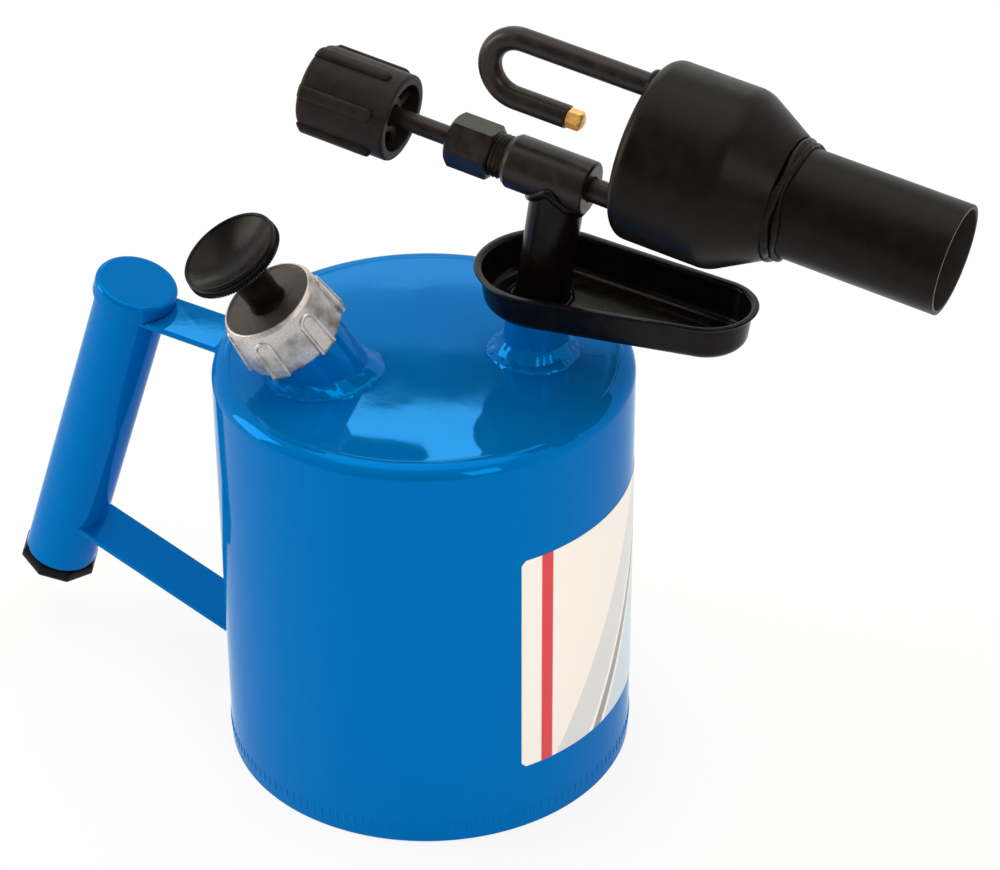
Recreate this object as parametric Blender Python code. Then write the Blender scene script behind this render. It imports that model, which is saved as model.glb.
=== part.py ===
"""Liquid-fuel blowlamp: pressure tank, hand pump, regulating valve and tube vaporiser burner.

Metres, +Z up. The origin is on the ground under the middle of the tank.
+X points the way the flame leaves, and the handle stands behind the tank, towards -X.
"""

import math

import bmesh
import bpy
from mathutils import Matrix, Vector

# Tank: a drawn steel can with a pressed top, and a base disc let into its foot
TANK_RADIUS = 0.0625
TANK_HEIGHT = 0.1332
TANK_WALL = 0.001
SHOULDER_RADIUS = 0.0045
TOP_CROWN = 0.0010
BASE_RECESS = 0.009
BASE_CROWN = 0.003
BASE_BEND_RADIUS = 0.0025
BASE_FOOT_LIFT = 0.001

# Pump: its neck leans outwards beside the handle
PUMP_ANGLE = math.radians(226.5)
PUMP_LEAN = math.radians(30.2)
PUMP_SEAT_RADIUS = 0.0306
NECK_RADIUS = 0.0132
NECK_WALL = 0.002
NECK_HEIGHT = 0.024
NECK_DEPTH = 0.009
GASKET_THICKNESS = 0.0015
GASKET_WIDTH = 0.0030
NUT_BOTTOM = 0.0158
NUT_HEIGHT = 0.0162
NUT_RADIUS = 0.0154
NUT_TOP_RADIUS = 0.0142
NUT_LIP = 0.0008
NUT_DISH = 0.0006
NUT_RIB_COUNT = 6
NUT_RIB_TURN = math.radians(54.0)
NUT_RIB_RADIUS = 0.0167
NUT_RIB_HALF_WIDTH = 0.0030
NUT_RIB_EDGE = 0.0012
NUT_RIB_DEPTH = 0.0008
NUT_RIB_LENGTH = 0.0128
BARREL_RADIUS = 0.009
BARREL_WALL = 0.0008
BARREL_DEPTH = 0.062
BARREL_FLANGE_RADIUS = 0.0126
BARREL_FLANGE_THICKNESS = 0.0015
ROD_RADIUS = 0.003
ROD_THREAD_RADIUS = 0.002
CUP_HEIGHT = 0.006
CUP_WALL = 0.0014
PISTON_DISC_THICKNESS = 0.0018
PISTON_NUT_RADIUS = 0.0040
PISTON_NUT_HEIGHT = 0.003
PISTON_REST_LIFT = 0.0008

# Foot valve: a sprung poppet in a brass body on the end of the barrel
FOOT_SPIGOT_HEIGHT = 0.005
FOOT_BODY_HEIGHT = 0.013
FOOT_BODY_RADIUS = 0.0086
FOOT_SEAT_THICKNESS = 0.0018
FOOT_SEAT_HOLE_RADIUS = 0.0014
FOOT_CHAMBER_RADIUS = 0.0046
FOOT_END_THICKNESS = 0.002
FOOT_OUTLET_RADIUS = 0.0016
POPPET_RADIUS = 0.0038
POPPET_THICKNESS = 0.002
POPPET_LIFT = 0.0012
SPRING_RADIUS = 0.0028
SPRING_WIRE_RADIUS = 0.00035
SPRING_TURNS = 4

# Plunger knob: a dished mushroom on the rod
PLUNGER_DISC_RADIUS = 0.0148
PLUNGER_HEIGHT = 0.0213
PLUNGER_RIM_THICKNESS = 0.0046
PLUNGER_DISH = 0.0034
PLUNGER_STEM_RADIUS = 0.0047
PLUNGER_FOOT_RADIUS = 0.0064
PLUNGER_FOOT_HEIGHT = 0.0030
PLUNGER_SOCKET_DEPTH = 0.013
PLUNGER_EDGE = 0.0007
PLUNGER_FLARE_SHARES = ((0.62, 0.05), (0.30, 0.17), (0.12, 0.35), (0.03, 0.60))

# Handle: a tube on a bracket bent from one strip
HANDLE_REACH = 0.0356
HANDLE_TOP_DROP = 0.0009
HANDLE_LEAN = math.radians(18.66)
HANDLE_RADIUS = 0.0114
HANDLE_WALL = 0.0015
HANDLE_LENGTH = 0.1157
HANDLE_CAP_RADIUS = 0.0128
HANDLE_CAP_SKIRT = 0.0058
HANDLE_CAP_THICKNESS = 0.0012
HANDLE_CAP_EDGE = 0.0022
STRIP_WIDTH = 0.0175
STRIP_THICKNESS = 0.002
STRIP_BEND_RADIUS = 0.003
UPPER_ARM_DROP = 0.0123
UPPER_ARM_RISE = math.radians(5.0)
LOWER_ARM_HEIGHT = 0.0146
LOWER_ARM_LIFT = 0.01945
PLUG_FACETS = 8
PLUG_RADIUS = 0.0127
PLUG_HEAD_HEIGHT = 0.0058
PLUG_SPIGOT_LENGTH = 0.012
PLUG_SPIGOT_WALL = 0.0018
PLUG_CHAMFER = 0.0012

# Riser: carries the valve and burner, and leans the way they point
RISER_X = 0.0282
RISER_Y = 0.0154
BURNER_DIP = math.radians(8.1)
RISER_HEIGHT = 0.0598
RISER_RADIUS = 0.0079
RISER_BORE_RADIUS = 0.0033
RISER_SPIGOT_LENGTH = 0.009
BOSS_RADIUS = 0.0095
BOSS_BORE_RADIUS = 0.0062
BOSS_HEIGHT = 0.0140
BOSS_DEPTH = 0.004
BOSS_CHAMFER = 0.0010
FUEL_TUBE_RADIUS = 0.003
FUEL_TUBE_WALL = 0.0008
FUEL_TUBE_FLOOR_GAP = 0.005
FUEL_TUBE_INSERT = 0.012
STRAINER_RADIUS = 0.0055
STRAINER_HEIGHT = 0.010
STRAINER_WALL = 0.0006
STRAINER_DROP_SHARE = 0.3

# Drip tray: a pressed teardrop dish round the riser
TRAY_RIM_LIFT = 0.0301
TRAY_DEPTH = 0.0112
TRAY_BIG_RADIUS = 0.0217
TRAY_SMALL_RADIUS = 0.0150
TRAY_LENGTH = 0.0493
TRAY_START = 0.0006
TRAY_SHEET = 0.0009
TRAY_FLARE = 0.0018
TRAY_FLARE_DROP = 0.0016
TRAY_DRAFT = 0.0018
TRAY_FLOOR_RADIUS = 0.0026
TRAY_LIP_SHARES = (0.6, 0.3)
TRAY_UNDER_SHARES = (0.3, 0.9, 0.4)

# Valve: body across the riser's head, gland nut, spindle and knob
VALVE_RADIUS = 0.0080
VALVE_FRONT = 0.0098
VALVE_BACK = 0.0158
VALVE_FRONT_CHAMFER = 0.0012
VALVE_BACK_CHAMFER = 0.0010
THREAD_RADIUS = 0.0066
THREAD_LENGTH = 0.0150
PACKING_BORE_RADIUS = 0.0048
PACKING_BORE_DEPTH = 0.0055
PACKING_LENGTH = 0.0040
SEAT_HOLE_RADIUS = 0.0012
SEAT_LENGTH = 0.0014
RISER_PORT_RADIUS = 0.0026
PIPE_SOCKET_DEPTH = 0.0048
GLAND_FLATS = 0.0142
GLAND_FRONT = 0.0206
GLAND_LENGTH = 0.0140
GLAND_CHAMFER = 0.0016
GLAND_TURN = math.radians(26.3)
SPINDLE_RADIUS = 0.0029
SPINDLE_NEEDLE_LENGTH = 0.0040
KNOB_FRONT = 0.0508
KNOB_LENGTH = 0.0286
KNOB_RADIUS = 0.0130
KNOB_COLLAR_LENGTH = 0.0040
KNOB_BACK_EDGE = 0.0018
KNOB_CAVITY_RADIUS = 0.0104
KNOB_CAVITY_DEPTH = 0.0150
KNOB_HUB_RADIUS = 0.0052
KNOB_HUB_RECESS = 0.0030
KNOB_WEB_COUNT = 4
KNOB_WEB_THICKNESS = 0.0014
KNOB_WEB_RECESS = 0.0050
KNOB_RIB_COUNT = 6
KNOB_RIB_TURN = math.radians(8.5)
KNOB_RIB_RADIUS = 0.0020
KNOB_RIB_HEIGHT = 0.0012
KNOB_RIB_SHARES = (0.55, 1.0, 1.0, 0.72)
KNOB_RIB_END_SHARES = (0.4, 0.7)
KNOB_SOCKET_DEPTH = 0.0110

# Burner: jacket round a mixing tube, muzzle, feed pipe, return pipe and jet
CASING_RISE = 0.0195
CASING_RADIUS = 0.0261
CASING_WALL = 0.0015
CASING_BACK = 0.0228
CASING_EDGE_RADIUS = 0.0042
CASING_BEND_RADIUS = 0.0050
CONE_START = 0.0516
CONE_END = 0.0660
CONE_LIP = 0.0020
MIXING_TUBE_RADIUS = 0.0137
MIXING_TUBE_WALL = 0.0012
MIXING_TUBE_STAND = 0.0025
MIXING_TUBE_LAP = 0.0100
MUZZLE_RADIUS = 0.0158
MUZZLE_WALL = 0.0014
MUZZLE_END = 0.1158
MUZZLE_TUCK = 0.0040
MUZZLE_WELD_HEIGHT = 0.0024
MUZZLE_WELD_LENGTH = 0.0044
MUZZLE_WELD_SHARES = ((0.0, 1.0), (0.34, 0.97), (0.87, 0.75), (0.87, 0.25), (0.34, 0.03), (0.0, 0.0))
FEED_PIPE_RADIUS = 0.0036
PIPE_INSERT = 0.0035
GAS_PIPE_RADIUS = 0.00345
GAS_PIPE_RISE = 0.0192
GAS_PIPE_BEND_X = 0.0170
GAS_PIPE_END_X = 0.0020
GAS_PIPE_BEND_RADIUS = 0.00935
JET_SOCKET_RADIUS = 0.0022
JET_SOCKET_DEPTH = 0.0050
JET_SPIGOT_LENGTH = 0.0040
JET_LENGTH = 0.0056
JET_FLATS = 0.0060
JET_CHAMFER = 0.0007
JET_ORIFICE_RADIUS = 0.0005
JET_ORIFICE_DEPTH = 0.0030
PIPE_WELD_HEIGHT = 0.0014
PIPE_WELD_LENGTH = 0.0018

# Welds on the tank's top, under the valve and in the tray
NECK_WELD_SIZE = 0.0030
BOSS_WELD_SIZE = 0.0036
RISER_WELD_RADIUS = 0.0022
TRAY_WELD_SIZE = 0.0015
FILLET_SHARES = ((0.0, 0.0), (1.0, 0.0), (0.85, 0.35), (0.35, 0.85), (0.0, 1.0))

# Clearances: between pieces that touch, and between pieces that move on each other
GAP = 0.0003
RUNNING_GAP = 0.0003
OVERRUN = 0.003
MERGE_DISTANCE = 0.0000005

# Facets
TANK_STEPS = 44
CASING_STEPS = 36
TUBE_STEPS = 24
SMALL_STEPS = 16
TINY_STEPS = 10
ARC_STEPS = 3
CROWN_STEPS = 2
WELD_SIDES = 6
SMOOTH_ANGLE = math.radians(32.0)

FULL_TURN = 2.0 * math.pi
QUARTER_TURN = 0.5 * math.pi


# Scene, materials and frames

def clear_scene():
    """Start from nothing."""
    for obj in list(bpy.data.objects):
        bpy.data.objects.remove(obj, do_unlink=True)


def finish(name, colour, roughness, metallic):
    """One plain finish."""
    made = bpy.data.materials.new(name)
    made.use_nodes = True
    shader = made.node_tree.nodes["Principled BSDF"]
    shader.inputs["Base Color"].default_value = (*colour, 1.0)
    shader.inputs["Roughness"].default_value = roughness
    shader.inputs["Metallic"].default_value = metallic
    made.diffuse_color = (*colour, 1.0)
    return made


def make_finishes():
    """Colours, roughness and metal share of every piece's surface."""
    return {
        "blue_paint": finish("blue_paint", (0.0, 0.133, 0.479), 0.22, 0.0),
        "black_paint": finish("black_paint", (0.012, 0.011, 0.011), 0.45, 0.0),
        "black_oxide": finish("black_oxide", (0.018, 0.016, 0.015), 0.42, 0.6),
        "bare_steel": finish("bare_steel", (0.36, 0.35, 0.34), 0.35, 1.0),
        "cast_aluminium": finish("cast_aluminium", (0.48, 0.46, 0.44), 0.42, 1.0),
        "brass": finish("brass", (0.70, 0.45, 0.16), 0.30, 1.0),
        "black_plastic": finish("black_plastic", (0.012, 0.011, 0.011), 0.40, 0.0),
        "matt_plastic": finish("matt_plastic", (0.022, 0.020, 0.019), 0.60, 0.0),
        "leather": finish("leather", (0.20, 0.10, 0.05), 0.75, 0.0),
        "fibre": finish("fibre", (0.30, 0.12, 0.08), 0.80, 0.0),
        "graphite": finish("graphite", (0.05, 0.05, 0.055), 0.55, 0.3),
    }


def frame_empty(name, origin, rotation, parent=None):
    """An axis that pieces are built on: its local +Z runs along the axis."""
    empty = bpy.data.objects.new(name, None)
    empty.empty_display_size = GAP
    bpy.context.collection.objects.link(empty)
    empty.parent = parent
    empty.location = origin
    empty.rotation_euler = rotation
    return empty


def place(name, mesh, surface, parent=None, location=(0.0, 0.0, 0.0), rotation=(0.0, 0.0, 0.0)):
    """Link a finished mesh as a named piece."""
    piece = bpy.data.objects.new(name, mesh)
    bpy.context.collection.objects.link(piece)
    piece.parent = parent
    piece.location = location
    piece.rotation_euler = rotation
    if surface is not None:
        mesh.materials.append(surface)
    return piece


def mesh_from(name, bm):
    """Close a bmesh off into a smooth-shaded mesh whose faces point outwards."""
    bmesh.ops.remove_doubles(bm, verts=bm.verts, dist=MERGE_DISTANCE)
    bmesh.ops.recalc_face_normals(bm, faces=bm.faces)
    mesh = bpy.data.meshes.new(name)
    bm.to_mesh(mesh)
    bm.free()
    mesh.shade_smooth()
    mesh.set_sharp_from_angle(angle=SMOOTH_ANGLE)
    return mesh


# Shapes

def arc(centre, radius, start, end, steps=ARC_STEPS):
    """Points along an arc in the plane of an outline, both ends included."""
    return [
        (centre[0] + radius * math.cos(angle), centre[1] + radius * math.sin(angle))
        for angle in (start + (end - start) * step / steps for step in range(steps + 1))
    ]


def turned_mesh(name, outline, steps):
    """Spin an outline of (radius, height) points round local Z."""
    bm = bmesh.new()
    verts = [bm.verts.new((radius, 0.0, height)) for radius, height in outline]
    edges = [bm.edges.new(pair) for pair in zip(verts, verts[1:])]
    on_axis = outline[0][0] == 0.0 and outline[-1][0] == 0.0
    if not on_axis:
        edges.append(bm.edges.new((verts[-1], verts[0])))
    bmesh.ops.spin(
        bm, geom=verts + edges, cent=(0.0, 0.0, 0.0), axis=(0.0, 0.0, 1.0),
        dvec=(0.0, 0.0, 0.0), angle=FULL_TURN, steps=steps, use_merge=True, use_duplicate=False,
    )
    return mesh_from(name, bm)


def turned(name, outline, steps, surface, parent=None, location=(0.0, 0.0, 0.0)):
    """A turned or drawn round piece."""
    return place(name, turned_mesh(name, outline, steps), surface, parent, location)


def tube_outline(outer, inner, low, high):
    """A plain tube's outline."""
    return [(outer, high), (outer, low), (inner, low), (inner, high)]


def extruded_mesh(name, points, offset):
    """Extrude a flat polygon by a vector."""
    bm = bmesh.new()
    face = bm.faces.new([bm.verts.new(point) for point in points])
    grown = bmesh.ops.extrude_face_region(bm, geom=[face])
    moved = [item for item in grown["geom"] if isinstance(item, bmesh.types.BMVert)]
    bmesh.ops.translate(bm, verts=moved, vec=offset)
    return mesh_from(name, bm)


def swept_mesh(name, centres, frames, radius, sides, closed):
    """A round section carried along points, with a pair of cross axes at each point."""
    bm = bmesh.new()
    rings = []
    for centre, (across, up) in zip(centres, frames):
        ring = []
        for side in range(sides):
            angle = FULL_TURN * (side + 0.5) / sides
            ring.append(bm.verts.new(centre + radius * (math.cos(angle) * across + math.sin(angle) * up)))
        rings.append(ring)
    pairs = list(zip(rings, rings[1:]))
    if closed:
        pairs.append((rings[-1], rings[0]))
    for ring, following in pairs:
        for side in range(sides):
            beside = (side + 1) % sides
            bm.faces.new((ring[side], ring[beside], following[beside], following[side]))
    if not closed:
        bm.faces.new(rings[0])
        bm.faces.new(rings[-1])
    return mesh_from(name, bm)


def as_cutter(piece):
    """Show a shape as a guide only."""
    piece.hide_render = True
    piece.display_type = "WIRE"
    return piece


def turned_cutter(name, outline, steps, parent=None, location=(0.0, 0.0, 0.0), rotation=(0.0, 0.0, 0.0)):
    """A round shape that other pieces are cut by."""
    return as_cutter(place(name, turned_mesh(name, outline, steps), None, parent, location, rotation))


def pin_outline(radius, low, high):
    """A plain solid cylinder's outline."""
    return [(0.0, high), (radius, high), (radius, low), (0.0, low)]


def combine(piece, tool, operation):
    """Cut, join or intersect a piece with another shape."""
    step = piece.modifiers.new(operation.lower() + "_" + tool.name, "BOOLEAN")
    step.operation = operation
    step.solver = "EXACT"
    step.object = tool


# Tank

def top_height(radius):
    """Height of the tank's crowned top at a distance from its axis."""
    flat = TANK_RADIUS - SHOULDER_RADIUS
    return TANK_HEIGHT + TOP_CROWN * (1.0 - (min(radius, flat) / flat) ** 2)


def tank_outline(grow):
    """Outer line of the can from the middle of its top down to its foot, grown outwards."""
    flat = TANK_RADIUS - SHOULDER_RADIUS
    points = []
    for step in range(CROWN_STEPS):
        radius = flat * step / CROWN_STEPS
        points.append((radius, top_height(radius) + grow))
    centre = (flat, TANK_HEIGHT - SHOULDER_RADIUS)
    points += arc(centre, SHOULDER_RADIUS + grow, QUARTER_TURN, 0.0)
    return points


def make_tank(finishes):
    """The can, cut through for both necks, and the base disc seam-welded into its foot."""
    outer = tank_outline(0.0) + [(TANK_RADIUS, 0.0)]
    inner = [(TANK_RADIUS - TANK_WALL, 0.0)] + list(reversed(tank_outline(-TANK_WALL)))
    shell = turned("tank_shell", outer + inner, TANK_STEPS, finishes["blue_paint"])

    edge = TANK_RADIUS - TANK_WALL - GAP
    bend = BASE_BEND_RADIUS
    middle = BASE_RECESS + BASE_CROWN
    upper = [(0.0, middle)]
    upper += arc((edge - bend, BASE_RECESS - bend), bend, QUARTER_TURN, 0.0, 2)
    upper += [(edge, BASE_FOOT_LIFT), (edge - TANK_WALL, BASE_FOOT_LIFT)]
    lower = arc((edge - bend, BASE_RECESS - bend), bend - TANK_WALL, 0.0, QUARTER_TURN, 2)
    lower += [(0.0, middle - TANK_WALL)]
    turned("tank_base", upper + lower, TANK_STEPS, finishes["blue_paint"])
    return shell


def tank_floor(line):
    """A function that gives the height of the tank's top, along an axis's own Z, under a local point."""
    to_part = line.matrix_world

    def floor(point):
        height = 0.0
        for _ in range(ARC_STEPS + ARC_STEPS):
            spot = to_part @ Vector((point.x, point.y, height))
            height += top_height(math.hypot(spot.x, spot.y)) - spot.z
        return height

    return floor


def fillet_weld(name, line, pipe_radius, size, floor, surface):
    """A fillet weld round a pipe: its section stands on the surface whose height the floor function gives."""
    bm = bmesh.new()
    rings = []
    for step in range(TUBE_STEPS):
        angle = FULL_TURN * step / TUBE_STEPS
        across = Vector((math.cos(angle), math.sin(angle), 0.0))
        ring = []
        for out_share, up_share in FILLET_SHARES:
            foot = across * (pipe_radius + GAP + size * out_share)
            ring.append(bm.verts.new(foot + Vector((0.0, 0.0, floor(foot) + GAP + size * up_share))))
        rings.append(ring)
    for index, ring in enumerate(rings):
        following = rings[(index + 1) % len(rings)]
        for corner in range(len(ring)):
            beside = (corner + 1) % len(ring)
            bm.faces.new((ring[corner], ring[beside], following[beside], following[corner]))
    return place(name, mesh_from(name, bm), surface, line)


# Pump

def make_neck(line, shell, finishes):
    """The filler neck that the pump screws down on, and its weld."""
    bore = NECK_RADIUS - NECK_WALL
    lead = GASKET_THICKNESS * 0.5
    outline = [(NECK_RADIUS - lead, NECK_HEIGHT), (NECK_RADIUS, NECK_HEIGHT - lead)]
    outline += [(NECK_RADIUS, -NECK_DEPTH), (bore, -NECK_DEPTH), (bore, NECK_HEIGHT)]
    turned("filler_neck", outline, TUBE_STEPS, finishes["blue_paint"], line)
    reach = NECK_DEPTH + OVERRUN
    hole = turned_cutter("filler_hole_guide", pin_outline(NECK_RADIUS + GAP, -reach, reach), TUBE_STEPS, line)
    combine(shell, hole, "DIFFERENCE")
    floor = tank_floor(line)
    fillet_weld("filler_neck_weld", line, NECK_RADIUS, NECK_WELD_SIZE, floor, finishes["blue_paint"])


def rib_outline(half_width, low, high):
    """A tongue with a round upper end, as (sideways, up) points."""
    points = [(-half_width, low), (half_width, low)]
    points += arc((0.0, high - half_width), half_width, 0.0, math.pi)
    return points


def rib_set(name, half_width, low, high, inner, outer, parent):
    """All the nut's tongues as one guide shape, standing round its axis."""
    bm = bmesh.new()
    for index in range(NUT_RIB_COUNT):
        turn = Matrix.Rotation(NUT_RIB_TURN + FULL_TURN * index / NUT_RIB_COUNT, 3, "Z")
        outline = rib_outline(half_width, low, high)
        face = bm.faces.new([bm.verts.new(turn @ Vector((inner, side, up))) for side, up in outline])
        grown = bmesh.ops.extrude_face_region(bm, geom=[face])
        moved = [item for item in grown["geom"] if isinstance(item, bmesh.types.BMVert)]
        bmesh.ops.translate(bm, verts=moved, vec=turn @ Vector((outer - inner, 0.0, 0.0)))
    return as_cutter(place(name, mesh_from(name, bm), None, parent))


def make_pump_nut(line, finishes):
    """The cast nut that clamps the pump on the neck: a tapered cap with hollowed tongues round it."""
    top = NUT_BOTTOM + NUT_HEIGHT
    ceiling = NECK_HEIGHT + GASKET_THICKNESS + BARREL_FLANGE_THICKNESS + 3.0 * GAP
    bore = NECK_RADIUS + RUNNING_GAP
    hole = ROD_RADIUS + RUNNING_GAP
    rim = NUT_TOP_RADIUS - NUT_LIP
    outline = [(hole, top - NUT_DISH), (rim - NUT_LIP, top - NUT_DISH), (rim, top)]
    outline += [(rim + 0.5 * NUT_LIP, top), (NUT_TOP_RADIUS + 0.5 * NUT_LIP, top - 1.5 * NUT_LIP)]
    outline += [(NUT_RADIUS, NUT_BOTTOM + NUT_LIP), (NUT_RADIUS - 0.5 * NUT_LIP, NUT_BOTTOM)]
    outline += [(bore, NUT_BOTTOM), (bore, ceiling), (hole, ceiling)]
    nut = turned("pump_nut", outline, TUBE_STEPS, finishes["cast_aluminium"], line)
    low = NUT_BOTTOM + 0.5 * NUT_LIP
    high = low + NUT_RIB_LENGTH
    inner = 0.5 * (bore + NUT_TOP_RADIUS)
    ribs = rib_set("nut_rib_guide", NUT_RIB_HALF_WIDTH, low, high, inner, NUT_RIB_RADIUS, line)
    combine(nut, ribs, "UNION")
    floor = NUT_RIB_RADIUS - NUT_RIB_DEPTH
    hollows = rib_set(
        "nut_hollow_guide", NUT_RIB_HALF_WIDTH - NUT_RIB_EDGE, low - OVERRUN, high - NUT_RIB_EDGE,
        floor, NUT_RIB_RADIUS + OVERRUN, line,
    )
    combine(nut, hollows, "DIFFERENCE")
    return nut


def make_barrel(line, finishes):
    """The pump barrel, hung by its flange on a gasket over the neck."""
    seat = NECK_HEIGHT + GAP
    inner = NECK_RADIUS - GASKET_WIDTH
    turned("pump_gasket", tube_outline(NECK_RADIUS - GAP, inner, seat, seat + GASKET_THICKNESS),
           TUBE_STEPS, finishes["fibre"], line)
    low = seat + GASKET_THICKNESS + GAP
    high = low + BARREL_FLANGE_THICKNESS
    bore = BARREL_RADIUS - BARREL_WALL
    outline = [(BARREL_FLANGE_RADIUS, high), (BARREL_FLANGE_RADIUS, low), (BARREL_RADIUS, low)]
    outline += [(BARREL_RADIUS, -BARREL_DEPTH), (bore, -BARREL_DEPTH), (bore, high)]
    turned("pump_barrel", outline, TUBE_STEPS, finishes["bare_steel"], line)


def make_foot_valve(line, finishes):
    """Brass body on the barrel's end, and the sprung poppet that shuts its hole from below."""
    spigot = BARREL_RADIUS - BARREL_WALL - GAP
    top = -BARREL_DEPTH + FOOT_SPIGOT_HEIGHT
    shoulder = -BARREL_DEPTH - GAP
    seat = top - FOOT_SEAT_THICKNESS
    bottom = shoulder - FOOT_BODY_HEIGHT
    floor = bottom + FOOT_END_THICKNESS
    outline = [(FOOT_SEAT_HOLE_RADIUS, top), (spigot, top), (spigot, shoulder), (FOOT_BODY_RADIUS, shoulder)]
    outline += [(FOOT_BODY_RADIUS, bottom), (FOOT_OUTLET_RADIUS, bottom), (FOOT_OUTLET_RADIUS, floor)]
    outline += [(FOOT_CHAMBER_RADIUS, floor), (FOOT_CHAMBER_RADIUS, seat), (FOOT_SEAT_HOLE_RADIUS, seat)]
    turned("foot_valve_body", outline, SMALL_STEPS, finishes["brass"], line)

    poppet_top = seat - GAP
    poppet_low = poppet_top - POPPET_THICKNESS
    turned("foot_valve_poppet", pin_outline(POPPET_RADIUS, poppet_low, poppet_top),
           TINY_STEPS, finishes["black_plastic"], line)

    high = poppet_low - GAP - SPRING_WIRE_RADIUS
    low = floor + GAP + SPRING_WIRE_RADIUS
    steps = SPRING_TURNS * TINY_STEPS
    slope = (high - low) / (FULL_TURN * SPRING_TURNS)
    centres = []
    frames = []
    for step in range(steps + 1):
        angle = FULL_TURN * SPRING_TURNS * step / steps
        across = Vector((math.cos(angle), math.sin(angle), 0.0))
        round_step = Vector((-math.sin(angle), math.cos(angle), 0.0)) * SPRING_RADIUS
        along = (round_step + Vector((0.0, 0.0, slope))).normalized()
        centres.append(across * SPRING_RADIUS + Vector((0.0, 0.0, low + slope * angle)))
        frames.append((across, along.cross(across)))
    mesh = swept_mesh("foot_valve_spring", centres, frames, SPRING_WIRE_RADIUS, 4, closed=False)
    place("foot_valve_spring", mesh, finishes["bare_steel"], line)


def make_plunger(line, finishes):
    """Rod with its knob above and the leather cup between disc and nut below."""
    bore = BARREL_RADIUS - BARREL_WALL
    cup_radius = bore - RUNNING_GAP
    foot_top = -BARREL_DEPTH + FOOT_SPIGOT_HEIGHT
    nut_low = foot_top + PISTON_REST_LIFT
    nut_high = nut_low + PISTON_NUT_HEIGHT
    cup_low = nut_high + GAP
    cup_floor = cup_low + CUP_WALL
    disc_low = cup_floor + GAP
    disc_high = disc_low + PISTON_DISC_THICKNESS
    thread = ROD_THREAD_RADIUS
    hole = thread + GAP

    hexagon = [(PISTON_NUT_RADIUS, nut_high), (PISTON_NUT_RADIUS, nut_low), (hole, nut_low), (hole, nut_high)]
    turned("piston_nut", hexagon, 6, finishes["bare_steel"], line)
    cup = [(cup_radius, cup_low + CUP_HEIGHT), (cup_radius, cup_low + 0.5 * CUP_WALL)]
    cup += [(cup_radius - 0.5 * CUP_WALL, cup_low), (hole, cup_low), (hole, cup_floor)]
    cup += [(cup_radius - CUP_WALL, cup_floor), (cup_radius - CUP_WALL, cup_low + CUP_HEIGHT)]
    turned("cup_leather", cup, SMALL_STEPS, finishes["leather"], line)
    disc_radius = cup_radius - CUP_WALL - GAP
    turned("piston_disc", tube_outline(disc_radius, hole, disc_low, disc_high),
           SMALL_STEPS, finishes["bare_steel"], line)

    nut_top = NUT_BOTTOM + NUT_HEIGHT
    knob_low = nut_top - NUT_DISH + RUNNING_GAP
    socket_top = knob_low + PLUNGER_SOCKET_DEPTH
    rod = [(0.0, socket_top - GAP), (ROD_RADIUS, socket_top - GAP), (ROD_RADIUS, disc_high + GAP)]
    rod += [(thread, disc_high + GAP), (thread, nut_low), (0.0, nut_low)]
    turned("pump_rod", rod, SMALL_STEPS, finishes["bare_steel"], line)

    knob_high = knob_low + PLUNGER_HEIGHT
    rim_low = knob_high - PLUNGER_RIM_THICKNESS
    outline = []
    dish_steps = 3
    dish_radius = PLUNGER_DISC_RADIUS - 2.0 * PLUNGER_EDGE
    for step in range(dish_steps + 1):
        share = step / dish_steps
        outline.append((dish_radius * share, knob_high - PLUNGER_DISH * (1.0 - share ** 2)))
    outline += arc((PLUNGER_DISC_RADIUS - PLUNGER_EDGE, knob_high - PLUNGER_EDGE), PLUNGER_EDGE,
                   QUARTER_TURN, 0.0, 2)
    outline += arc((PLUNGER_DISC_RADIUS - PLUNGER_EDGE, rim_low + PLUNGER_EDGE), PLUNGER_EDGE,
                   0.0, -QUARTER_TURN, 2)
    flare_low = knob_low + PLUNGER_FOOT_HEIGHT
    flare_out = PLUNGER_DISC_RADIUS - 3.0 * PLUNGER_EDGE - PLUNGER_STEM_RADIUS
    for out_share, down_share in PLUNGER_FLARE_SHARES:
        outline.append((
            PLUNGER_STEM_RADIUS + flare_out * out_share,
            rim_low - (rim_low - flare_low) * down_share,
        ))
    outline += [(PLUNGER_STEM_RADIUS, flare_low)]
    outline += [(0.5 * (PLUNGER_STEM_RADIUS + PLUNGER_FOOT_RADIUS), knob_low + 0.5 * PLUNGER_FOOT_HEIGHT)]
    outline += [(PLUNGER_FOOT_RADIUS, knob_low + PLUNGER_EDGE), (PLUNGER_FOOT_RADIUS, knob_low)]
    socket = ROD_RADIUS + GAP
    outline += [(socket, knob_low), (socket, socket_top), (0.0, socket_top)]
    turned("plunger_knob", outline, TUBE_STEPS, finishes["black_plastic"], line)


# Handle

def strip_line(points, radius):
    """The middle line of a bent strip: straight runs joined by arcs of the bend radius."""
    line = [Vector(points[0])]
    for before, corner, after in zip(points, points[1:], points[2:]):
        corner = Vector(corner)
        back = (Vector(before) - corner).normalized()
        ahead = (Vector(after) - corner).normalized()
        half = 0.5 * back.angle(ahead)
        centre = corner + (back + ahead).normalized() * (radius / math.sin(half))
        start = corner + back * (radius / math.tan(half)) - centre
        sweep = math.pi - 2.0 * half
        turn_sign = 1.0 if start.cross(-back) > 0.0 else -1.0
        for step in range(ARC_STEPS + 1):
            turn = Matrix.Rotation(turn_sign * sweep * step / ARC_STEPS, 2)
            line.append(centre + turn @ start)
    line.append(Vector(points[-1]))
    return line


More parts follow.
